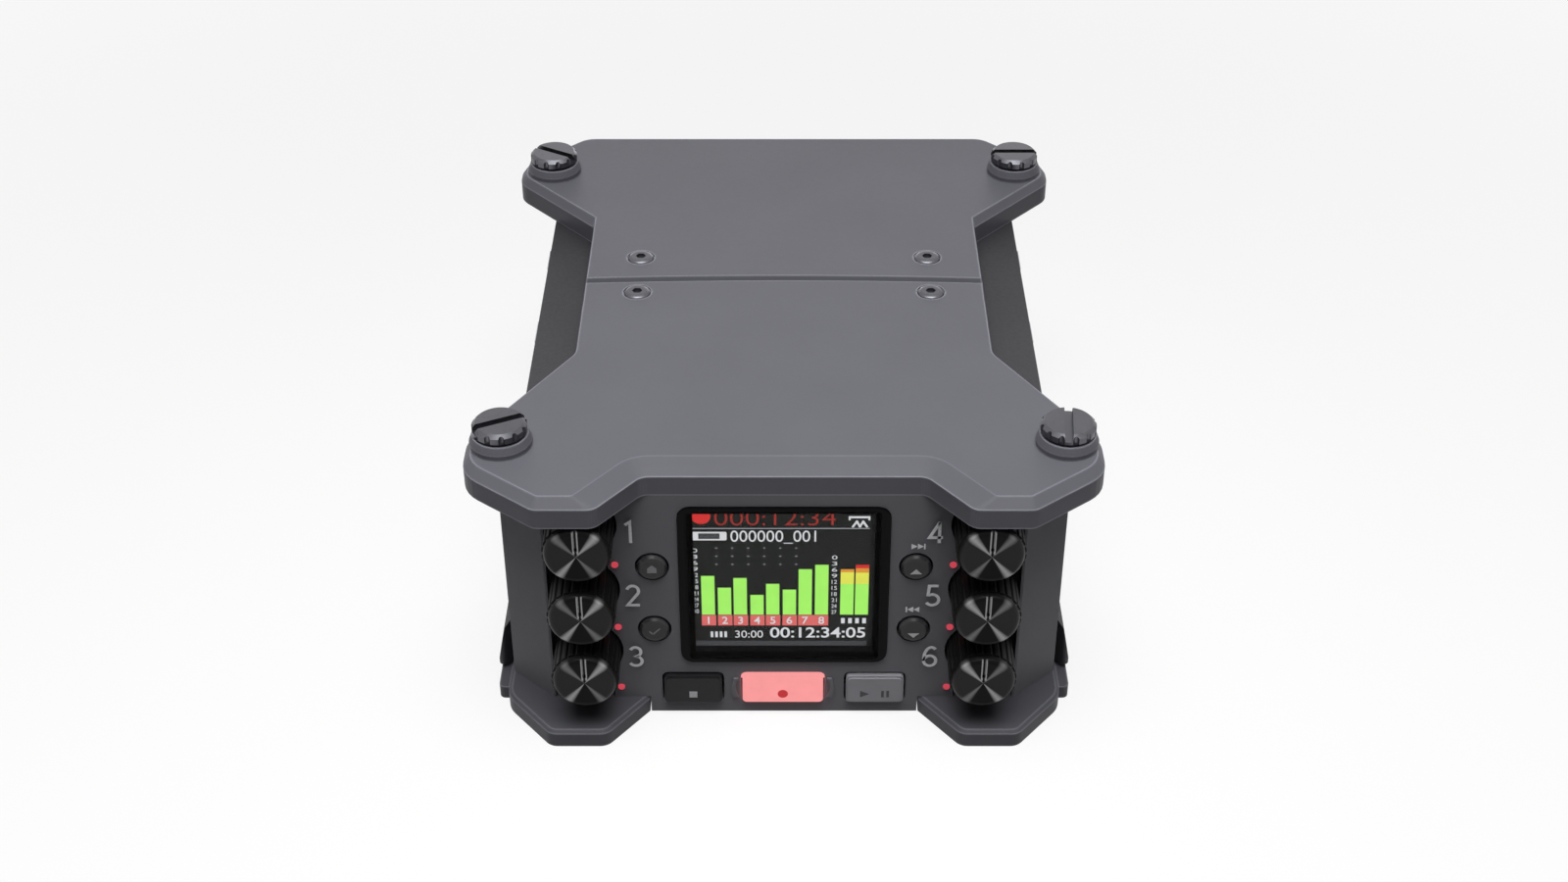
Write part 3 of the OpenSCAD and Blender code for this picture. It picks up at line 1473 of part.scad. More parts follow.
bottom_plate();
front_top_cover();
rear_top_cover();
cover_bracket();
front_panel();
wing_inserts();
left_side_panel();
right_side_panel();
rear_panel();
left_well_lining();
right_well_lining();
display_frame();
display_window();
display_panel();
status_lights();
case_screws();
tripod_bush();
pots();
control_board();
key_switches();
main_board();
input_boards();
left_input_shells();
right_input_shells();
left_input_inserts();
right_input_inserts();
input_contacts();
minijacks();
usb_port();
card_slot();
battery_cells();
battery_contacts();
gain_knob(1);  // gain_knob_1
gain_knob(2);  // gain_knob_2
gain_knob(3);  // gain_knob_3
gain_knob(4);  // gain_knob_4
gain_knob(5);  // gain_knob_5
gain_knob(6);  // gain_knob_6
round_key_at(-key_x, 0);  // menu_key
round_key_at(-key_x, 1);  // enter_key
round_key_at(key_x, 0);  // up_key
round_key_at(key_x, 1);  // down_key
bar_key_at(0, gloss_black);  // stop_key
bar_key_at(1, "#ff9a9a");  // record_key
bar_key_at(2, key_grey);  // play_key
release_tab_n(1);  // release_tab_1
release_tab_n(2);  // release_tab_2
release_tab_n(3);  // release_tab_3
release_tab_n(4);  // release_tab_4
release_tab_n(5);  // release_tab_5
release_tab_n(6);  // release_tab_6
headphone_dial();
power_switch();
card_cover();
battery_door();
thumb_screw_at(thumb_front, -1, 25);  // thumb_screw_front_left
thumb_screw_at(thumb_front, 1, 85);  // thumb_screw_front_right
thumb_screw_at(thumb_rear, -1, 150);  // thumb_screw_rear_left
thumb_screw_at(thumb_rear, 1, 0);  // thumb_screw_rear_right
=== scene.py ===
"""Portable field recorder: finishes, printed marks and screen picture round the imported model."""
import json
import math

import bmesh
import bpy
from mathutils import Matrix, Vector


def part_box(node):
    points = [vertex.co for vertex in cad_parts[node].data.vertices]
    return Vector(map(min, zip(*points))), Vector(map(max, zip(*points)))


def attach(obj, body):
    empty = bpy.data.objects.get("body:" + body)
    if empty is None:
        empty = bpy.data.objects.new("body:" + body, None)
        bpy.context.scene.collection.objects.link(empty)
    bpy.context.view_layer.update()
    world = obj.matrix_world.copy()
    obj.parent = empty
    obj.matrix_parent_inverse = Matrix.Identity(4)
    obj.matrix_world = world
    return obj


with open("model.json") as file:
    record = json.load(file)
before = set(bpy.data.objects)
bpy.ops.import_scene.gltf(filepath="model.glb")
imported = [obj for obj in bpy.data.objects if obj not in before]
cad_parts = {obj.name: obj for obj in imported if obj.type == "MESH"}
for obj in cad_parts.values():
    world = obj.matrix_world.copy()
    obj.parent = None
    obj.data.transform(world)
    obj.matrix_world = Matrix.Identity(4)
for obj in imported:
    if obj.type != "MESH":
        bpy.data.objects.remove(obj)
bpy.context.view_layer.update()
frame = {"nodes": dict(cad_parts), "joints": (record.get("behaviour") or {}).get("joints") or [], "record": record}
NODES = frame["nodes"]
RECORD = frame["record"]
SLOT_OF = {part["node"]: part["material_slot"] for part in RECORD["subparts"]}
COLOUR_OF = {m["slot"]: list(m["base_color"][:3]) + [1.0] for m in RECORD["materials"]}
AXIS_OF = {j["child"]: Vector(j["pos_m"]) for j in frame["joints"] if "pos_m" in j}
MM = 0.001
PRINT_LIFT = 0.012 * MM  # height of printed marks above the face that carries them
PRINT_T = 0.02  # usual thickness of a printed mark in mm
EDGE_HIGHLIGHT_RADIUS = 0.5 * MM  # width of the painted highlight along an edge
EDGE_SAMPLES = 6
EDGE_LEAN = (0.998, 0.95)  # cosines between the flat and the rounded normal: off an edge, on it


# ---------- Materials ----------

def scaled(colour, share):
    return [c * share for c in colour[:3]] + [1.0]


class Shader:
    """A material with a Principled shader and short ways to add the nodes that feed it."""

    def __init__(self, name):
        self.material = bpy.data.materials.new(name)
        self.material.use_nodes = True
        self.nodes = self.material.node_tree.nodes
        self.links = self.material.node_tree.links
        self.principled = self.nodes["Principled BSDF"]
        self.place = self.nodes.new("ShaderNodeTexCoord").outputs["Object"]

    def set(self, **values):
        for name, value in values.items():
            self.principled.inputs[name.replace("_", " ")].default_value = value

    def link(self, source, target):
        self.links.new(source, target)

    def feed(self, socket, value):
        """Links another node's output to the socket, or writes a plain value in it."""
        if isinstance(value, bpy.types.NodeSocket):
            self.link(value, socket)
        elif value is not None:
            socket.default_value = value

    def node(self, kind, **inputs):
        made = self.nodes.new(kind)
        for name, value in inputs.items():
            self.feed(made.inputs[name.replace("_", " ")], value)
        return made

    def noise(self, scale, detail=2.0, roughness=0.5):
        made = self.node("ShaderNodeTexNoise", Vector=self.place, Scale=scale, Detail=detail,
                         Roughness=roughness)
        return made.outputs["Fac"]

    def ramp(self, factor, stops):
        """stops: (position, colour) pairs, where a colour may be a single grey level."""
        made = self.node("ShaderNodeValToRGB", Fac=factor)
        elements = made.color_ramp.elements
        while len(elements) < len(stops):
            elements.new(1.0)
        for element, (position, colour) in zip(elements, stops):
            element.position = position
            element.color = colour if hasattr(colour, "__len__") else (colour, colour, colour, 1.0)
        return made.outputs["Color"]

    def shades(self, factor, colour, dark, light):
        """The colour times dark to the colour times light, over the middle of a noise."""
        return self.ramp(factor, [(0.3, scaled(colour, dark)), (0.7, scaled(colour, light))])

    def maths(self, operation, first, second=None, kind="ShaderNodeMath"):
        made = self.nodes.new(kind)
        made.operation = operation
        for socket, value in zip(made.inputs, (first, second)):
            self.feed(socket, value)
        return made.outputs[0]

    def length(self, vector):
        made = self.node("ShaderNodeVectorMath", Vector=vector)
        made.operation = "LENGTH"
        return made.outputs["Value"]

    def panel_mm(self, at):
        """Millimetres across and up from a point, seen from the front."""
        local = self.maths("SUBTRACT", self.place, tuple(at), "ShaderNodeVectorMath")
        return self.maths("MULTIPLY", local, (1 / MM, 0.0, 1 / MM), "ShaderNodeVectorMath")

    def share(self, value, low, high):
        """0 where the value is low, 1 where it is high, held at those outside."""
        made = self.node("ShaderNodeMapRange", Value=value, From_Min=low, From_Max=high)
        return made.outputs["Result"]

    def between(self, value, low, high):
        """low where the value is 0, high where it is 1."""
        made = self.node("ShaderNodeMapRange", Value=value, To_Min=low, To_Max=high)
        return made.outputs["Result"]

    def band(self, value, edges):
        """1 between the two middle edges, falling to 0 at the outer two."""
        up = self.share(value, edges[0], edges[1])
        down = self.share(value, edges[3], edges[2])
        return self.maths("MULTIPLY", up, down)

    def mixed(self, factor, first, second):
        made = self.nodes.new("ShaderNodeMix")
        made.data_type = "RGBA"
        sockets = [made.inputs["Factor"]] + [i for i in made.inputs if i.type == "RGBA"]
        for socket, value in zip(sockets, (factor, first, second)):
            self.feed(socket, value)
        return [o for o in made.outputs if o.type == "RGBA"][0]

    def edges(self, radius):
        """Near 1 along edges, where a rounded normal leaves the flat one, and 0 elsewhere."""
        rounded_normal = self.node("ShaderNodeBevel", Radius=radius)
        rounded_normal.samples = EDGE_SAMPLES
        flat_normal = self.nodes.new("ShaderNodeNewGeometry").outputs["True Normal"]
        lean = self.nodes.new("ShaderNodeVectorMath")
        lean.operation = "DOT_PRODUCT"
        self.link(rounded_normal.outputs["Normal"], lean.inputs[0])
        self.link(flat_normal, lean.inputs[1])
        return self.share(lean.outputs["Value"], *EDGE_LEAN)

    def bump(self, height, strength, distance, normal=None):
        made = self.node("ShaderNodeBump", Height=height, Strength=strength, Distance=distance,
                         Normal=normal)
        return made.outputs["Normal"]

    def colour(self, output):
        self.link(output, self.principled.inputs["Base Color"])

    def colour_between(self, factor, colour, spread):
        """Base colour that varies by a small share round the given one."""
        self.colour(self.shades(factor, colour, 1 - spread, 1 + spread))

    def rough_between(self, factor, low, high):
        self.link(self.ramp(factor, [(0.25, low), (0.75, high)]), self.principled.inputs["Roughness"])

    def normal(self, output):
        self.link(output, self.principled.inputs["Normal"])


def painted(name, colour, roughness=0.42, grain=0.1, shine=0.3, edge=0.0):
    """Fine matte paint on metal, with a slight orange-peel grain and a painted highlight along its edges."""
    s = Shader(name)
    coat = s.shades(s.noise(scale=60.0, detail=4.0), colour, 0.965, 1.035)
    # Painted highlight: the paint is made lighter along edges, where light would catch them.
    if edge:
        coat = s.mixed(s.edges(EDGE_HIGHLIGHT_RADIUS), coat, scaled(colour, 1 + edge))
    s.colour(coat)
    s.rough_between(s.noise(scale=900.0, detail=3.0), roughness - 0.05, roughness + 0.05)
    fine = s.bump(s.noise(scale=5200.0), grain, 0.05 * MM)
    s.normal(s.bump(s.noise(scale=1700.0), grain * 0.7, 0.08 * MM, fine))
    s.set(Specular_IOR_Level=shine)
    return s.material


def moulded(name, colour, roughness=0.5, grain=0.12, shine=0.3):
    """Moulded plastic with an eroded texture."""
    s = Shader(name)
    s.colour_between(s.noise(scale=90.0, detail=3.0), colour, spread=0.08)
    s.rough_between(s.noise(scale=1500.0), roughness - 0.07, roughness + 0.07)
    s.normal(s.bump(s.noise(scale=3800.0, detail=3.0, roughness=0.6), grain, 0.06 * MM))
    s.set(Specular_IOR_Level=shine)
    return s.material


def glossy(name, colour, roughness=0.12, shine=0.5):
    """Smooth plastic with faint waves."""
    s = Shader(name)
    s.colour_between(s.noise(scale=120.0), colour, spread=0.04)
    s.rough_between(s.noise(scale=700.0), roughness * 0.8, roughness * 1.2)
    s.normal(s.bump(s.noise(scale=160.0, detail=1.0), 0.03, 0.1 * MM))
    s.set(Specular_IOR_Level=shine)
    return s.material


def metal(name, colour, roughness=0.3, grain=0.1):
    """Bare or blackened metal with fine scratches too small to tell apart."""
    s = Shader(name)
    s.colour_between(s.noise(scale=200.0, detail=4.0), colour, spread=0.06)
    s.rough_between(s.noise(scale=1600.0, detail=3.0), roughness - 0.06, roughness + 0.08)
    s.normal(s.bump(s.noise(scale=2600.0, detail=3.0), grain, 0.03 * MM))
    s.set(Metallic=1.0)
    return s.material


def lit(name, colour, strength):
    """Surface that glows: the screen's picture, the status lights, the record key and its mark."""
    s = Shader(name)
    s.set(Base_Color=(0.01, 0.01, 0.01, 1.0), Roughness=0.5, Specular_IOR_Level=0.04,
          Emission_Strength=strength)
    shade = s.shades(s.noise(scale=400.0), colour, 0.96, 1.03)
    s.link(shade, s.principled.inputs["Emission Color"])
    return s.material


def ink(name, colour):
    """Printed mark with slightly uneven cover."""
    s = Shader(name)
    s.colour_between(s.noise(scale=2500.0, detail=3.0), colour, spread=0.08)
    s.set(Roughness=0.55)
    return s.material


def window_glass(name):
    """Clear window with little mirror, so that the dark round the picture stays dark."""
    s = Shader(name)
    s.colour_between(s.noise(scale=50.0, detail=1.0), (0.9, 0.92, 0.93), spread=0.01)
    s.set(Roughness=0.03, IOR=1.12, Transmission_Weight=1.0)
    return s.material


# For each slot: the kind of finish, the share that brings the solids' plain colour to the finish's,
# and the finish's settings
FINISHES = {
    "cover_coat": (painted, 0.74, dict(roughness=0.46, shine=0.14, edge=1.3)),
    "panel_coat": (painted, 3.0, dict(roughness=0.5, shine=0.14)),
    "case_black": (moulded, 1.5, dict(roughness=0.5)),
    "lining_black": (moulded, 0.5, dict(roughness=0.6, shine=0.1)),
    "gloss_black": (glossy, 0.4, dict(roughness=0.1, shine=0.06)),
    "knob_black": (painted, 0.5, dict(roughness=0.34, grain=0.05, shine=0.2)),
    "screen": (glossy, 0.2, dict(roughness=0.3, shine=0.1)),
    "key_black": (moulded, 0.7, dict(roughness=0.45, shine=0.2)),
    "key_grey": (moulded, 2.8, dict(roughness=0.45)),
    "key_red": (lit, 1.0, dict(strength=1.0)),
    "steel": (metal, 1.0, dict(roughness=0.3)),
    "black_steel": (metal, 6.5, dict(roughness=0.32, grain=0.05)),
    "board_green": (glossy, 1.0, dict(roughness=0.3)),
    "gold": (metal, 1.0, dict(roughness=0.25)),
    "cell_wrap": (glossy, 1.0, dict(roughness=0.25)),
}
BASE_SHADE_SHARE = 0.46  # share of the covers' colour on the bottom plate: the same paint darkened, a painted shade for the shade under the covers' overhang
LIGHT_RED = (0.50, 0.05, 0.075)
LIGHT_STRENGTH = 1.1


def finish(name, slot, share=None):
    """Finish of a slot, with another share of the plain colour where one is given."""
    kind, own_share, settings = FINISHES[slot]
    return kind(name, scaled(COLOUR_OF[slot], share or own_share), **settings)


def dress(node, material):
    obj = NODES[node]
    obj.data.materials.clear()
    obj.data.materials.append(material)


MATERIALS = {slot: finish(slot, slot) for slot in FINISHES}
MATERIALS["clear_window"] = window_glass("clear_window")
MATERIALS["light_red"] = lit("light_red", LIGHT_RED, LIGHT_STRENGTH)
for node_name in NODES:
    dress(node_name, MATERIALS[SLOT_OF[node_name]])
# The bottom plate takes the covers' paint, darkened as a painted shade.
dress("bottom_plate", finish("base_coat", "cover_coat", BASE_SHADE_SHARE))


# ---------- Flat shapes in a face's own millimetres ----------

def front_face(origin):
    """From millimetres on a face that looks to the front (x right, y up, z out) to model metres."""
    right, up = Vector((1, 0, 0)), Vector((0, 0, 1))
    turn = Matrix((right, up, right.cross(up))).transposed().to_4x4()
    return Matrix.Translation(Vector(origin)) @ turn @ Matrix.Scale(MM, 4)


def in_mm(value):
    return value / MM


def rect(x, y, w, h):
    """Rectangle round its middle."""
    return span(x - w / 2, y - h / 2, x + w / 2, y + h / 2)


def span(x0, y0, x1, y1):
    """Rectangle between two corners."""
    return [(x0, y0), (x1, y0), (x1, y1), (x0, y1)]


def arc(x, y, rx, ry, start, end, steps=16):
    """Points along an arc, angles in degrees."""
    angles = [math.radians(start + (end - start) * i / steps) for i in range(steps + 1)]
    return [(x + rx * math.cos(a), y + ry * math.sin(a)) for a in angles]


def disc(x, y, r, steps=32):
    return arc(x, y, r, r, 0, 360, steps)[:-1]


def rounded(x, y, w, h, r, steps=6):
    """Rectangle round its middle, with rounded corners."""
    points = []
    for side, level, start in ((1, -1, -90), (1, 1, 0), (-1, 1, 90), (-1, -1, 180)):
        points += arc(x + side * (w / 2 - r), y + level * (h / 2 - r), r, r, start, start + 90, steps)
    return points


def stroke(a, b, width):
    """Straight line of the given width from a to b, with square ends past both."""
    a, b = Vector(a), Vector(b)
    along = (b - a).normalized() * width / 2
    side = Vector((-along.y, along.x))
    return [tuple(p) for p in (a - along - side, b + along - side, b + along + side, a - along + side)]


def ribbon(points, width):
    """Line of constant width through the points, one four-cornered outline for each step."""
    points = [Vector(p) for p in points]
    edges = []
    for i, p in enumerate(points):
        before = (p - points[max(i - 1, 0)]).normalized()
        after = (points[min(i + 1, len(points) - 1)] - p).normalized()
        along = (before + after).normalized()
        side = Vector((-along.y, along.x))
        lean = max(0.5, along.dot(after if after.length else before))
        edges.append((tuple(p - side * width / 2 / lean), tuple(p + side * width / 2 / lean)))
    return [[a[0], b[0], b[1], a[1]] for a, b in zip(edges, edges[1:])]


# ---------- Pieces made from flat shapes and numerals ----------

TEXT_HALF_T = 0.01  # half thickness of a numeral in mm


def add_piece(name, bm, frame_matrix, material, body="recorder"):
    """Turns a bmesh in a face's millimetres into a piece that rides on the body."""
    bmesh.ops.transform(bm, matrix=frame_matrix, verts=bm.verts)
    mesh = bpy.data.meshes.new(name)
    bm.to_mesh(mesh)
    bm.free()
    mesh.materials.append(material)
    obj = bpy.data.objects.new(name, mesh)
    bpy.context.scene.collection.objects.link(obj)
    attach(obj, body)


def plates(name, shapes, frame_matrix, material, thickness=PRINT_T, body="recorder"):
    """One thin plate for each outline, joined in one piece."""
    bm = bmesh.new()
    for outline in shapes:
        low = [bm.verts.new((x, y, 0.0)) for x, y in outline]
        high = [bm.verts.new((x, y, thickness)) for x, y in outline]
        bm.faces.new(high)
        bm.faces.new(low[::-1])
        for i in range(len(outline)):
            j = (i + 1) % len(outline)
            bm.faces.new((low[i], low[j], high[j], high[i]))
    add_piece(name, bm, frame_matrix, material, body)


def text_mesh(text, x, y, height, bold=0.0, width=None, align="CENTER"):
    """Mesh of a line of numerals, its base at y and its digits of the given height."""
    curve = bpy.data.curves.new("line", "FONT")
    curve.body = text
    curve.extrude = TEXT_HALF_T
    curve.offset = bold
    holder = bpy.data.objects.new("line", curve)
    bpy.context.scene.collection.objects.link(holder)
    mesh = bpy.data.meshes.new_from_object(holder.evaluated_get(bpy.context.evaluated_depsgraph_get()))
    bpy.data.objects.remove(holder)
    bpy.data.curves.remove(curve)
    xs = [v.co.x for v in mesh.vertices]
    ys = [v.co.y for v in mesh.vertices]
    up = height / (max(ys) - min(ys))
    across = width / (max(xs) - min(xs)) if width else up
    anchor = {"LEFT": min(xs), "CENTER": (min(xs) + max(xs)) / 2, "RIGHT": max(xs)}[align]
    for v in mesh.vertices:
        v.co = ((v.co.x - anchor) * across + x, (v.co.y - min(ys)) * up + y, v.co.z + TEXT_HALF_T)
    return mesh


def numerals(name, lines, frame_matrix, material):
    """lines: keyword sets for text_mesh, joined in one piece."""
    bm = bmesh.new()
    for line in lines:
        mesh = text_mesh(**line)
        bm.from_mesh(mesh)
        bpy.data.meshes.remove(mesh)
    add_piece(name, bm, frame_matrix, material)


# ---------- Numbers beside the knobs ----------

PANEL = front_face((0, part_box("front_panel")[0].y - PRINT_LIFT, 0))
WHITE_INK = ink("white_ink", (0.92, 0.92, 0.95))
GREY_INK = ink("grey_ink", (0.62, 0.62, 0.64))
# Lines of the channel numbers before NUMBER_SCALE, each 4.5 high round the middle NUMBER_HALF_W
NUMBER_LINES = [
    [[(0.5, 3.85), (1.37, 4.5), (1.37, 0.0)]],
    [arc(1.28, 3.42, 1.02, 1.1, 165, -36) + [(0.3, 0.23), (2.42, 0.23)]],
    [arc(1.22, 3.46, 0.95, 1.06, 155, -90) + arc(1.22, 1.32, 1.1, 1.08, 90, -155)[1:]],
    [[(1.9, 4.5), (0.2, 1.15), (2.5, 1.15)], [(1.9, 0.0), (1.9, 4.5)]],
    [[(2.2, 4.52), (0.6, 4.52), (0.45, 2.5)] + arc(1.2, 1.42, 1.14, 1.2, 118, -150)],
    [arc(1.3, 1.4, 1.08, 1.17, 0, 360, 28), [(0.22, 1.4)] + arc(1.5, 1.9, 1.28, 2.62, 180, 55)],
]
NUMBER_HALF_W = 1.3
NUMBER_SCALE = 0.92
NUMBER_X = (-24.2, 23.87)  # middle of the left and the right column
NUMBER_DROP = 3.2  # base of a number below its knob's axis
NUMBER_PEN = 0.52


def channel_numbers():
    shapes = []
    for n, lines in enumerate(NUMBER_LINES, 1):
        axis = AXIS_OF[f"gain_knob_{n}"]
        x0 = NUMBER_X[axis.x > 0] - NUMBER_HALF_W * NUMBER_SCALE
        y0 = in_mm(axis.z) - NUMBER_DROP
        for line in lines:
            points = [(x0 + x * NUMBER_SCALE, y0 + y * NUMBER_SCALE) for x, y in line]
            shapes += ribbon(points, NUMBER_PEN)
    plates("channel_numbers", shapes, PANEL, WHITE_INK)


channel_numbers()


# ---------- Keys ----------

ROUND_KEYS = ("menu_key", "enter_key", "up_key", "down_key")
RIM_IN = (1.0, 0.7)  # mm in from a round key's edge where its rim's painted shade begins and where it is full
FACE_DARK = (0.042, 0.042, 0.045, 1.0)
FACE_LIGHT = (0.05, 0.05, 0.053, 1.0)
FACE_ROUGHNESS = 0.1351
RIM_SHADE = (0.006, 0.006, 0.007, 1.0)
RIM_ROUGHNESS = 0.6757
CAP_DEPTH = 0.4 * MM  # points within this depth of a key's front belong to its face
CHECK_PEN = 0.22
# Outlines of the marks, in millimetres from the middle of the key's face
HOME = [[(-0.75, -0.75), (0.75, -0.75), (0.75, 0.15), (0, 0.8), (-0.75, 0.15)]]
CHECK_LINES = (((-0.75, -0.1), (-0.2, -0.65)), ((-0.28, -0.62), (0.85, 0.55)))
CHECK = [stroke(start, end, CHECK_PEN) for start, end in CHECK_LINES]
UP = [[(-0.95, -1.0), (0.95, -1.0), (0, 0.0)]]
DOWN = [[(-0.95, -0.4), (0, -1.35), (0.95, -0.4)]]
STOP = [rect(0, -0.9, 1.3, 1.3)]
RECORD_DOT = [disc(0, -0.75, 0.85)]
PLAY = [(-2.4, -1.5), (-0.9, -0.8), (-2.4, -0.1)]
PLAY_PAUSE = [PLAY] + [rect(x, -0.8, 0.45, 1.4) for x in (1.3, 2.15)]
FAINT_INK = ink("faint_ink", (0.26, 0.26, 0.27))
DARK_INK = ink("dark_ink", (0.03, 0.03, 0.035))
RED_LIGHT = lit("red_ink", (0.50, 0.035, 0.04), 1.0)
# Name of each mark, the key that it rides on, its outlines and its material
KEY_MARKS = (
    ("home_mark", "menu_key", HOME, FAINT_INK),
    ("check_mark", "enter_key", CHECK, FAINT_INK),
    ("up_mark", "up_key", UP, GREY_INK),
    ("down_mark", "down_key", DOWN, GREY_INK),
    ("stop_mark", "stop_key", STOP, GREY_INK),
    ("record_mark", "record_key", RECORD_DOT, RED_LIGHT),
    ("play_mark", "play_key", PLAY_PAUSE, DARK_INK),
)
# Key under each double arrow, the way it points and its shift in mm from the key's middle
SKIPS = (("up_key", 1, 0.1), ("down_key", -1, -0.2))
SKIP_RISE = 1.15  # middle of a double arrow above its key's top
SKIP_PITCH = 1.0
SKIP_W = 0.95
SKIP_HALF_H = 0.55
SKIP_BAR_AT = 1.1  # bar that the double arrow points to
SKIP_BAR_W = 0.25


def round_key(node):
    """Black key with a smooth face inside a duller rim, darkened by a painted shade for the gap round the key and
    its shadow.
    """
    low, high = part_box(node)
    radius = in_mm(high.x - low.x) / 2
    s = Shader(f"{node}_black")
    from_middle = s.length(s.panel_mm((low + high) / 2))
    # rim darkened as a painted shade, for the gap round the key and its shadow
    shaded_rim = s.share(from_middle, radius - RIM_IN[0], radius - RIM_IN[1])
    face = s.ramp(s.noise(scale=90.0, detail=3.0), [(0.3, FACE_DARK), (0.7, FACE_LIGHT)])
    s.colour(s.mixed(shaded_rim, face, RIM_SHADE))
    s.link(s.between(shaded_rim, FACE_ROUGHNESS, RIM_ROUGHNESS), s.principled.inputs["Roughness"])
    s.normal(s.bump(s.noise(scale=3800.0, detail=3.0, roughness=0.6), 0.1, 0.06 * MM))
    s.set(Specular_IOR_Level=0.2)
    return s.material


def key_frame(node):
    """Face frame in the middle of a key's front."""
    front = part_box(node)[0].y
    cap = [v.co for v in NODES[node].data.vertices if v.co.y < front + CAP_DEPTH]
    x = [c.x for c in cap]
    z = [c.z for c in cap]
    return front_face(((min(x) + max(x)) / 2, front - PRINT_LIFT, (min(z) + max(z)) / 2))


def key_mark(name, node, shapes, material):
    """Mark that rides on its key."""
    plates(name, shapes, key_frame(node), material, body=node)


def skip_marks():
    """Double arrows above the two keys on the right."""
    shapes = []
    for node, way, shift in SKIPS:
        low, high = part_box(node)
        x0 = in_mm((low.x + high.x) / 2) + shift
        z0 = in_mm(high.z) + SKIP_RISE
        for back in (-SKIP_PITCH, 0.0):
            shapes.append([(x0 + way * back, z0 - SKIP_HALF_H), (x0 + way * (back + SKIP_W), z0),
                           (x0 + way * back, z0 + SKIP_HALF_H)])
        shapes.append(rect(x0 + way * SKIP_BAR_AT, z0, SKIP_BAR_W, 2 * SKIP_HALF_H))
    plates("skip_marks", shapes, PANEL, WHITE_INK)


for key in ROUND_KEYS:
    dress(key, round_key(key))
for mark in KEY_MARKS:
    key_mark(*mark)
skip_marks()


# ---------- Screen picture, in millimetres from its upper left corner ----------

PICTURE_W = 28.8
PICTURE_H = 28.2
PICTURE_SHIFT = Vector((-0.6 * MM, 0.0, -0.6 * MM))  # picture's middle from the frame's
FRAME_LOW, FRAME_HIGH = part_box("display_frame")
PICTURE_AT = (FRAME_LOW + FRAME_HIGH) / 2 + PICTURE_SHIFT
PICTURE = front_face((PICTURE_AT.x - PICTURE_W / 2 * MM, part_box("display_panel")[0].y - PRINT_LIFT,
                      PICTURE_AT.z + PICTURE_H / 2 * MM))
OVER_LIFT = 0.025  # height of marks that lie on other marks
PICTURE_OVER = PICTURE @ Matrix.Translation((0, 0, OVER_LIFT))
# Colour and brightness of each light on the screen
PICTURE_LIGHTS = {
    "green": ((0.40, 0.93, 0.14), 1.0),
    "yellow": ((0.85, 0.85, 0.10), 0.95),
    "amber": ((0.85, 0.35, 0.05), 0.9),
    "red": ((0.75, 0.035, 0.03), 0.9),
    "dark_red": ((0.36, 0.03, 0.02), 0.9),
    "pink": ((0.80, 0.16, 0.15), 0.9),
    "white": ((0.78, 0.78, 0.80), 0.9),
    "grey": ((0.42, 0.42, 0.46), 0.9),
    "dark": ((0.06, 0.06, 0.065), 0.9),
    "back": ((0.008, 0.0083, 0.007), 0.9),
}
LIGHTS = {name: lit(f"picture_{name}", *light) for name, light in PICTURE_LIGHTS.items()}
BACK_T = 0.01
BAR_T = 0.03
BAR_BASE = -21.0
BAR_W = 2.15
BAR_LEFT = (1.65, 4.3, 6.85, 9.55, 12.1, 14.8, 17.35, 20.0)
BAR_TOP = (-12.97, -15.4, -13.4, -16.9, -14.6, -15.8, -11.6, -10.7)
# The two sum bars at the right turn yellow and amber, and the second one red
SUM_LEFT = (24.1, 26.5)
YELLOW_FROM = (-14.6, -14.6)
AMBER_FROM = (-12.2, -12.3)
AMBER_TO = (-11.6, -11.4)
RED_TO = -10.7
RED_DOT = disc(1.9, -1.0, 1.5)
SINGLE_LABELS = 6  # the labels of the last two channels are joined
LABEL_LOW = -23.3
LABEL_TOP = BAR_BASE - 0.1
LABEL_OUT = 0.05  # how far a label goes past its bar on the left, and the joined one on both sides
LABEL_RIGHT = 0.15  # how far a single label goes past its bar on the right
LABEL_DIGIT_RISE = 0.35  # digit's base above the label's lower edge
COUNTER = dict(text="000:12:34", x=4.0, y=-2.75, height=2.9, width=19.2, align="LEFT", bold=-0.012)
FILE_NUMBER = dict(text="000000_001", x=6.5, y=-6.4, height=2.6, width=13.6, align="LEFT")
CLOCK = dict(text="00:12:34:05", x=28.3, y=-25.9, height=2.2, width=15.6, align="RIGHT", bold=0.012)
TIME_LEFT = dict(text="30:00", x=7.0, y=-25.9, height=1.5, align="LEFT")
SCALES = ((11, 0.75, -8.2), (10, 23.1, -9.6))  # numbers in each of the two scales, their x and top
SCALE_STEP = 3
SCALE_PITCH = 1.25
SCALE_DIGIT = dict(height=0.8, width=0.85)
RULE = span(0.3, -3.45, 28.6, -3.3)  # line under the counter
BADGE = rounded(3.1, -4.9, 5.6, 1.7, 0.25)
BADGE_MARK = rounded(3.1, -4.9, 3.4, 1.1, 0.1)
STRIP = span(0.3, -27.9, 28.5, -26.6)  # band along the lower edge
# Faint dashes above the level bars
DASHES = [rect(4.2 + 2.55 * i, -7.3 - 1.65 * k, 0.36, 0.14) for i in range(6) for k in range(3)]
# Short marks where the screen has two small words
WORDS = [rect(3.2 + 0.75 * i, -25.2, 0.42, 1.2) for i in range(4)]
WORDS += [rect(24.6 + 1.15 * i, -22.3, 0.6, 1.1) for i in range(4)]
SUPPLY_BAR = span(25.2, -1.35, 28.6, -0.95)
SUPPLY_LEGS = [span(x, -1.75, x + 0.3, -1.2) for x in (25.2, 28.3)]
SUPPLY_WAVE = ((25.9, -3.0), (26.5, -2.0), (27.0, -3.0), (27.5, -2.0), (28.1, -3.0))
SUPPLY_PEN = 0.35


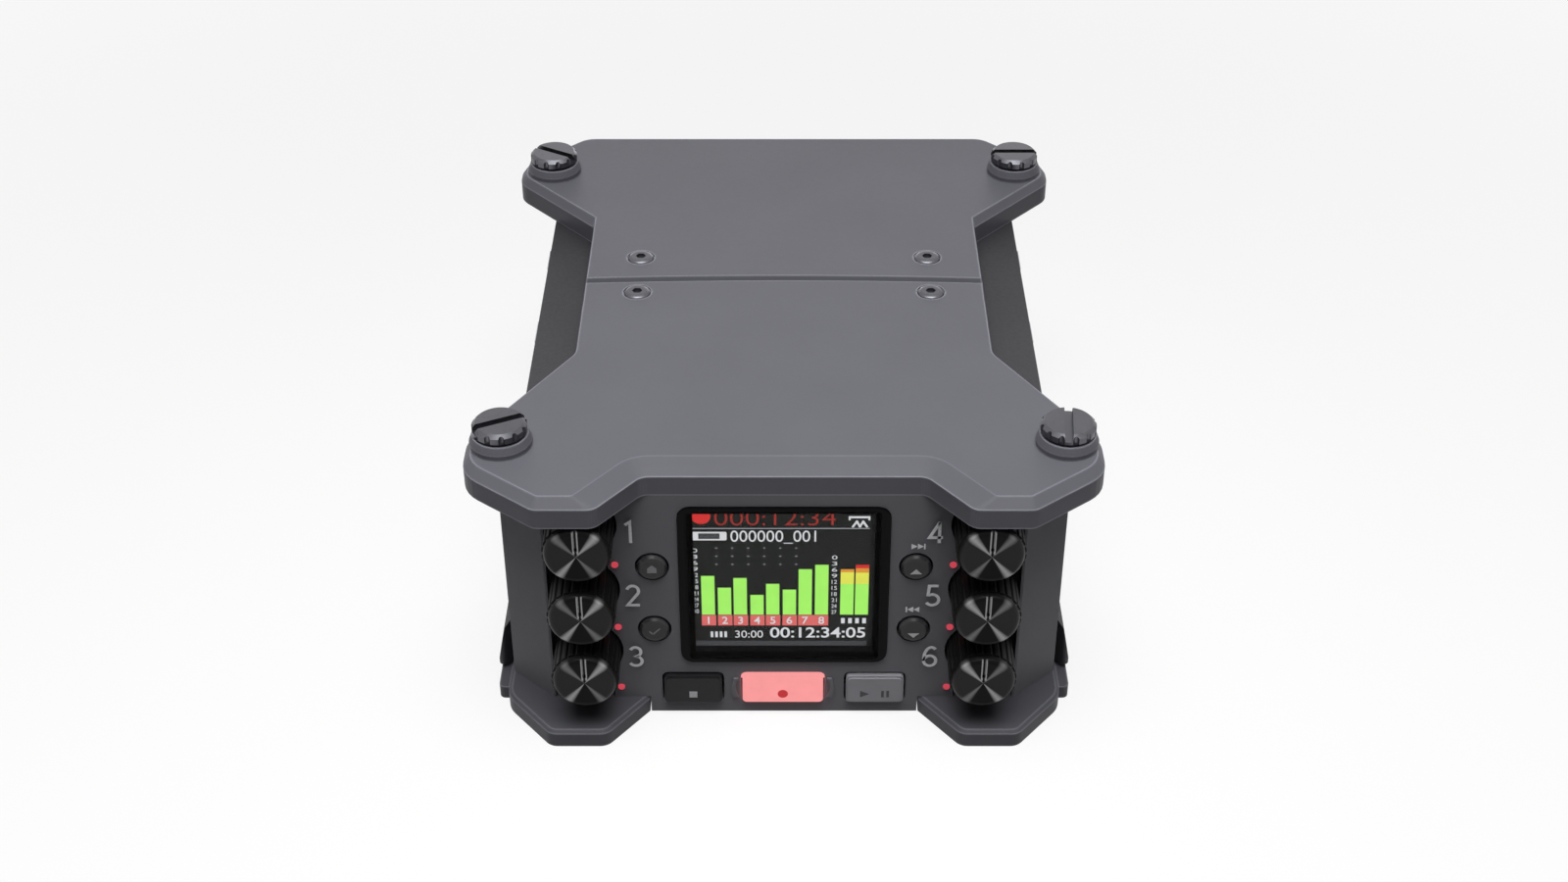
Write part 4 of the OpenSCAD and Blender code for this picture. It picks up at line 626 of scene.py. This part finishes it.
def on_screen(name, shapes, light, thickness=PRINT_T, at=PICTURE):
    """Piece of the picture in one of its lights."""
    plates(name, shapes, at, LIGHTS[light], thickness)


def screen_numbers(name, lines, light, at=PICTURE):
    numerals(name, lines, at, LIGHTS[light])


def bars(lefts, lows, tops):
    """Upright bars, or stretches of them."""
    return [span(x, low, x + BAR_W, top) for x, low, top in zip(lefts, lows, tops)]


def level_bars():
    bases = [BAR_BASE] * len(BAR_LEFT)
    green = bars(BAR_LEFT, bases, BAR_TOP) + bars(SUM_LEFT, bases, YELLOW_FROM)
    on_screen("level_bars", green, "green", BAR_T)
    on_screen("level_bars_yellow", bars(SUM_LEFT, YELLOW_FROM, AMBER_FROM), "yellow", BAR_T)
    on_screen("level_bars_amber", bars(SUM_LEFT, AMBER_FROM, AMBER_TO), "amber", BAR_T)
    red = bars(SUM_LEFT[1:], AMBER_TO[1:], [RED_TO])
    on_screen("level_bars_red", red + [RED_DOT], "red", BAR_T)


def channel_labels():
    singles = BAR_LEFT[:SINGLE_LABELS]
    first, last = BAR_LEFT[SINGLE_LABELS:]
    labels = [span(x - LABEL_OUT, LABEL_LOW, x + BAR_W + LABEL_RIGHT, LABEL_TOP) for x in singles]
    labels.append(span(first - LABEL_OUT, LABEL_LOW, last + BAR_W + LABEL_OUT, LABEL_TOP))
    on_screen("channel_labels", labels, "pink")
    y = LABEL_LOW + LABEL_DIGIT_RISE
    digits = [dict(text=str(n), x=x + BAR_W / 2, y=y, height=1.5, bold=0.01)
              for n, x in enumerate(BAR_LEFT, 1)]
    screen_numbers("channel_label_numbers", digits, "white", PICTURE_OVER)


def scale_numbers():
    """Numbers down the two scales."""
    return [dict(text=str(SCALE_STEP * i), x=x, y=top - SCALE_PITCH * i, **SCALE_DIGIT)
            for count, x, top in SCALES for i in range(count)]


def supply_mark():
    """Bar with two short legs over a wave."""
    wave = [stroke(start, end, SUPPLY_PEN) for start, end in zip(SUPPLY_WAVE, SUPPLY_WAVE[1:])]
    on_screen("supply_mark", [SUPPLY_BAR] + SUPPLY_LEGS + wave, "white")


on_screen("picture_back", [span(0, -PICTURE_H, PICTURE_W, 0)], "back", BACK_T)
level_bars()
channel_labels()
screen_numbers("counter_numbers", [COUNTER], "dark_red")
screen_numbers("file_numbers", [FILE_NUMBER, CLOCK], "white")
screen_numbers("small_numbers", [TIME_LEFT] + scale_numbers(), "white")
on_screen("scale_marks", [RULE] + DASHES, "grey")
on_screen("small_marks", [BADGE] + WORDS, "white")
on_screen("picture_strip", [STRIP], "dark")
supply_mark()
on_screen("source_mark", [BADGE_MARK], "dark", at=PICTURE_OVER)


# ---------- Turned knobs ----------

# The rays on the knobs' faces are painted highlights, where lamps would catch the turned metal.
RAY_HALF = 12.0  # degrees to each side of a ray's middle
RAY_PROFILE = ((-1.0, 0.0), (-0.4, 0.75), (0.0, 1.0), (0.4, 0.75), (1.0, 0.0))  # place, brightness
RAY_REACH = 5.05  # radius in mm at which the rays end
RAY_FADE = 0.2  # mm over which they fade, to each side of that radius
SIDE_SHEEN_TONE = 0.021  # grey of the face at the sides, a painted sheen between the rays
END_TONE = 0.009  # grey of the face above and below, and beyond the rays
# Angle from twelve o'clock, brightness, and the tones before and after each ray of painted highlight
HIGHLIGHT_RAYS = ((-142.0, 0.27, END_TONE, SIDE_SHEEN_TONE), (-40.0, 0.13, SIDE_SHEEN_TONE, END_TONE),
        (40.0, 0.28, END_TONE, SIDE_SHEEN_TONE), (142.0, 0.13, SIDE_SHEEN_TONE, END_TONE))
GROOVE_SCALE = 9.0
GROOVE_TONE = 0.82  # share of the brightness that is left in the darkest grooves
# Distances in mm across and up over which the pointer's two lines, painted highlights along the edges of its
# groove, rise and fall
POINTER_X = (0.14, 0.2, 0.42, 0.5)
POINTER_Z = (0.4, 0.7, 4.6, 4.9)
POINTER_HIGHLIGHT_TONE = 0.24


def grey(tone):
    return (tone, tone, tone, 1.0)


def ray_stops():
    """Tones round the knob's face, from half a turn before twelve o'clock to half a turn after."""
    stops = []
    for middle, level, before, after in HIGHLIGHT_RAYS:
        for share, part in RAY_PROFILE:
            tone = before if share < 0 else after
            stops.append((0.5 + (middle + share * RAY_HALF) / 360, tone + (level - tone) * part))
    return stops


def turned(name, at, mirror):
    """Black metal turned on a lathe: painted highlights in bright rays over fine grooves, and the pointer's two
    lines painted as highlights on its groove's edges.

    The painted rays are mirrored on the knobs at the right.
    """
    s = Shader(name)
    local = s.panel_mm(at)
    radius = s.length(local)
    axes = s.node("ShaderNodeSeparateXYZ", Vector=local)
    angle = s.maths("ARCTAN2", axes.outputs["X"], axes.outputs["Z"])
    half_turn = -math.pi if mirror else math.pi
    # painted highlight rays round the face
    highlight_rays = s.ramp(s.share(angle, -half_turn, half_turn), ray_stops())
    rings = s.node("ShaderNodeTexNoise", Scale=GROOVE_SCALE, Detail=2.0)
    rings.noise_dimensions = "1D"
    s.link(radius, rings.inputs["W"])
    grooves = s.ramp(rings.outputs["Fac"], [(0.3, GROOVE_TONE), (0.7, 1.0)])
    face = s.maths("MULTIPLY", highlight_rays, grooves, "ShaderNodeVectorMath")
    on_face = s.share(radius, RAY_REACH + RAY_FADE, RAY_REACH - RAY_FADE)
    face = s.mixed(on_face, grey(END_TONE), face)
    across = s.maths("ABSOLUTE", axes.outputs["X"])
    # the pointer's two lines: painted highlights along its groove's edges
    line = s.maths("MULTIPLY", s.band(across, POINTER_X), s.band(axes.outputs["Z"], POINTER_Z))
    s.colour(s.mixed(line, face, grey(POINTER_HIGHLIGHT_TONE)))
    tangent = s.nodes.new("ShaderNodeTangent")
    tangent.direction_type = "RADIAL"
    tangent.axis = "Y"
    s.link(tangent.outputs["Tangent"], s.principled.inputs["Tangent"])
    s.link(on_face, s.principled.inputs["Metallic"])
    s.set(Roughness=0.42, Anisotropic=0.6, Specular_IOR_Level=0.1)
    return s.material


for n in range(1, len(NUMBER_LINES) + 1):
    knob_axis = AXIS_OF[f"gain_knob_{n}"]
    dress(f"gain_knob_{n}", turned(f"turned_knob_{n}", knob_axis, knob_axis.x > 0))


# ---------- Floor, world, lamps and camera ----------

FLOOR_HALF = 3.0
FLOOR_LIGHT = (0.2, 0.2, 0.2, 1.0)  # floor's colour in the light that it throws on the object
FLOOR_GLOW = 0.82  # share of plain white in the floor where the background shows
FADE_FROM = 0.12  # distances in metres over which the floor turns plain white
FADE_TO = 0.5
SKY_PALE = 1.0  # strength of the world where it is seen
SKY_LIGHT = 0.04  # strength of the light that it throws on the object
PLAIN_WHITE = (1.0, 1.0, 1.0, 1.0)
# Name, place, target, size in metres, power in watts and spread in degrees of each lamp
LAMPS = (
    ("overhead", (0.0, -0.19, 0.5), (0, -0.13, 0.03), (0.45, 0.45), 0.71, 64.0),
    ("behind", (0.0, 0.9, 0.14), (0, 0.05, 0.03), (0.8, 0.2), 1.5, 180.0),
    ("side_-1", (-0.8, -0.75, 0.25), (0, -0.05, 0.03), (0.14, 0.2), 0.07, 180.0),
    ("side_1", (0.8, -0.75, 0.25), (0, -0.05, 0.03), (0.14, 0.2), 0.07, 180.0),
)
# Camera that was fitted to the photograph: metres, angle below the level, lens and sensor in mm
CAMERA_PLACE = (0.0, -0.32138, 0.24522)
CAMERA_PITCH = math.radians(35.15)
CAMERA_LENS = 49.7079
SENSOR_W = 36.0
CLIP = (0.01, 50.0)


def directly_seen(tree):
    """1 where the background shows: to the camera, in a reflection or through glass. Otherwise 0."""
    path = tree.nodes.new("ShaderNodeLightPath")
    seen = path.outputs["Is Camera Ray"]
    for ray in ("Is Glossy Ray", "Is Transmission Ray"):
        either = tree.nodes.new("ShaderNodeMath")
        either.operation = "MAXIMUM"
        tree.links.new(seen, either.inputs[0])
        tree.links.new(path.outputs[ray], either.inputs[1])
        seen = either.outputs[0]
    return seen


def make_floor():
    """Floor that shows the object's shadow near it and turns plain white further off."""
    mesh = bpy.data.meshes.new("floor")
    corners = [(x, y, 0) for x, y in span(-FLOOR_HALF, -FLOOR_HALF, FLOOR_HALF, FLOOR_HALF)]
    mesh.from_pydata(corners, [], [(0, 1, 2, 3)])
    obj = bpy.data.objects.new("floor", mesh)
    bpy.context.scene.collection.objects.link(obj)
    s = Shader("floor")
    seen = directly_seen(s.material.node_tree)
    far = s.share(s.length(s.place), FADE_FROM, FADE_TO)
    pale = s.mixed(far, grey(1 - FLOOR_GLOW), grey(0.0))
    s.colour(s.mixed(seen, FLOOR_LIGHT, pale))
    glow = s.between(far, FLOOR_GLOW, 1.0)
    s.link(s.maths("MULTIPLY", seen, glow), s.principled.inputs["Emission Strength"])
    s.set(Roughness=0.9, Specular_IOR_Level=0.0, Emission_Color=PLAIN_WHITE)
    mesh.materials.append(s.material)


def make_world():
    """White to the camera, in reflections and through glass, and dim as light on the object."""
    world = bpy.data.worlds.new("studio")
    bpy.context.scene.world = world
    world.use_nodes = True
    tree = world.node_tree
    background = tree.nodes["Background"]
    background.inputs["Color"].default_value = PLAIN_WHITE
    strength = tree.nodes.new("ShaderNodeMapRange")
    strength.inputs["To Min"].default_value = SKY_LIGHT
    strength.inputs["To Max"].default_value = SKY_PALE
    tree.links.new(directly_seen(tree), strength.inputs["Value"])
    tree.links.new(strength.outputs["Result"], background.inputs["Strength"])


def make_lamp(name, place, target, size, power, spread):
    data = bpy.data.lights.new(name, "AREA")
    data.shape = "RECTANGLE"
    data.size, data.size_y = size
    data.energy = power
    data.spread = math.radians(spread)
    lamp = bpy.data.objects.new(name, data)
    bpy.context.scene.collection.objects.link(lamp)
    lamp.location = place
    lamp.rotation_euler = (Vector(target) - Vector(place)).to_track_quat("-Z", "Y").to_euler()


def make_camera():
    data = bpy.data.cameras.new("camera")
    data.lens = CAMERA_LENS
    data.sensor_width = SENSOR_W
    data.clip_start, data.clip_end = CLIP
    camera = bpy.data.objects.new("camera", data)
    camera.location = CAMERA_PLACE
    camera.rotation_euler = (math.pi / 2 - CAMERA_PITCH, 0.0, 0.0)
    bpy.context.scene.collection.objects.link(camera)
    bpy.context.scene.camera = camera


make_floor()
make_world()
make_camera()
for lamp in LAMPS:
    make_lamp(*lamp)
bpy.context.scene.view_settings.view_transform = "Standard"
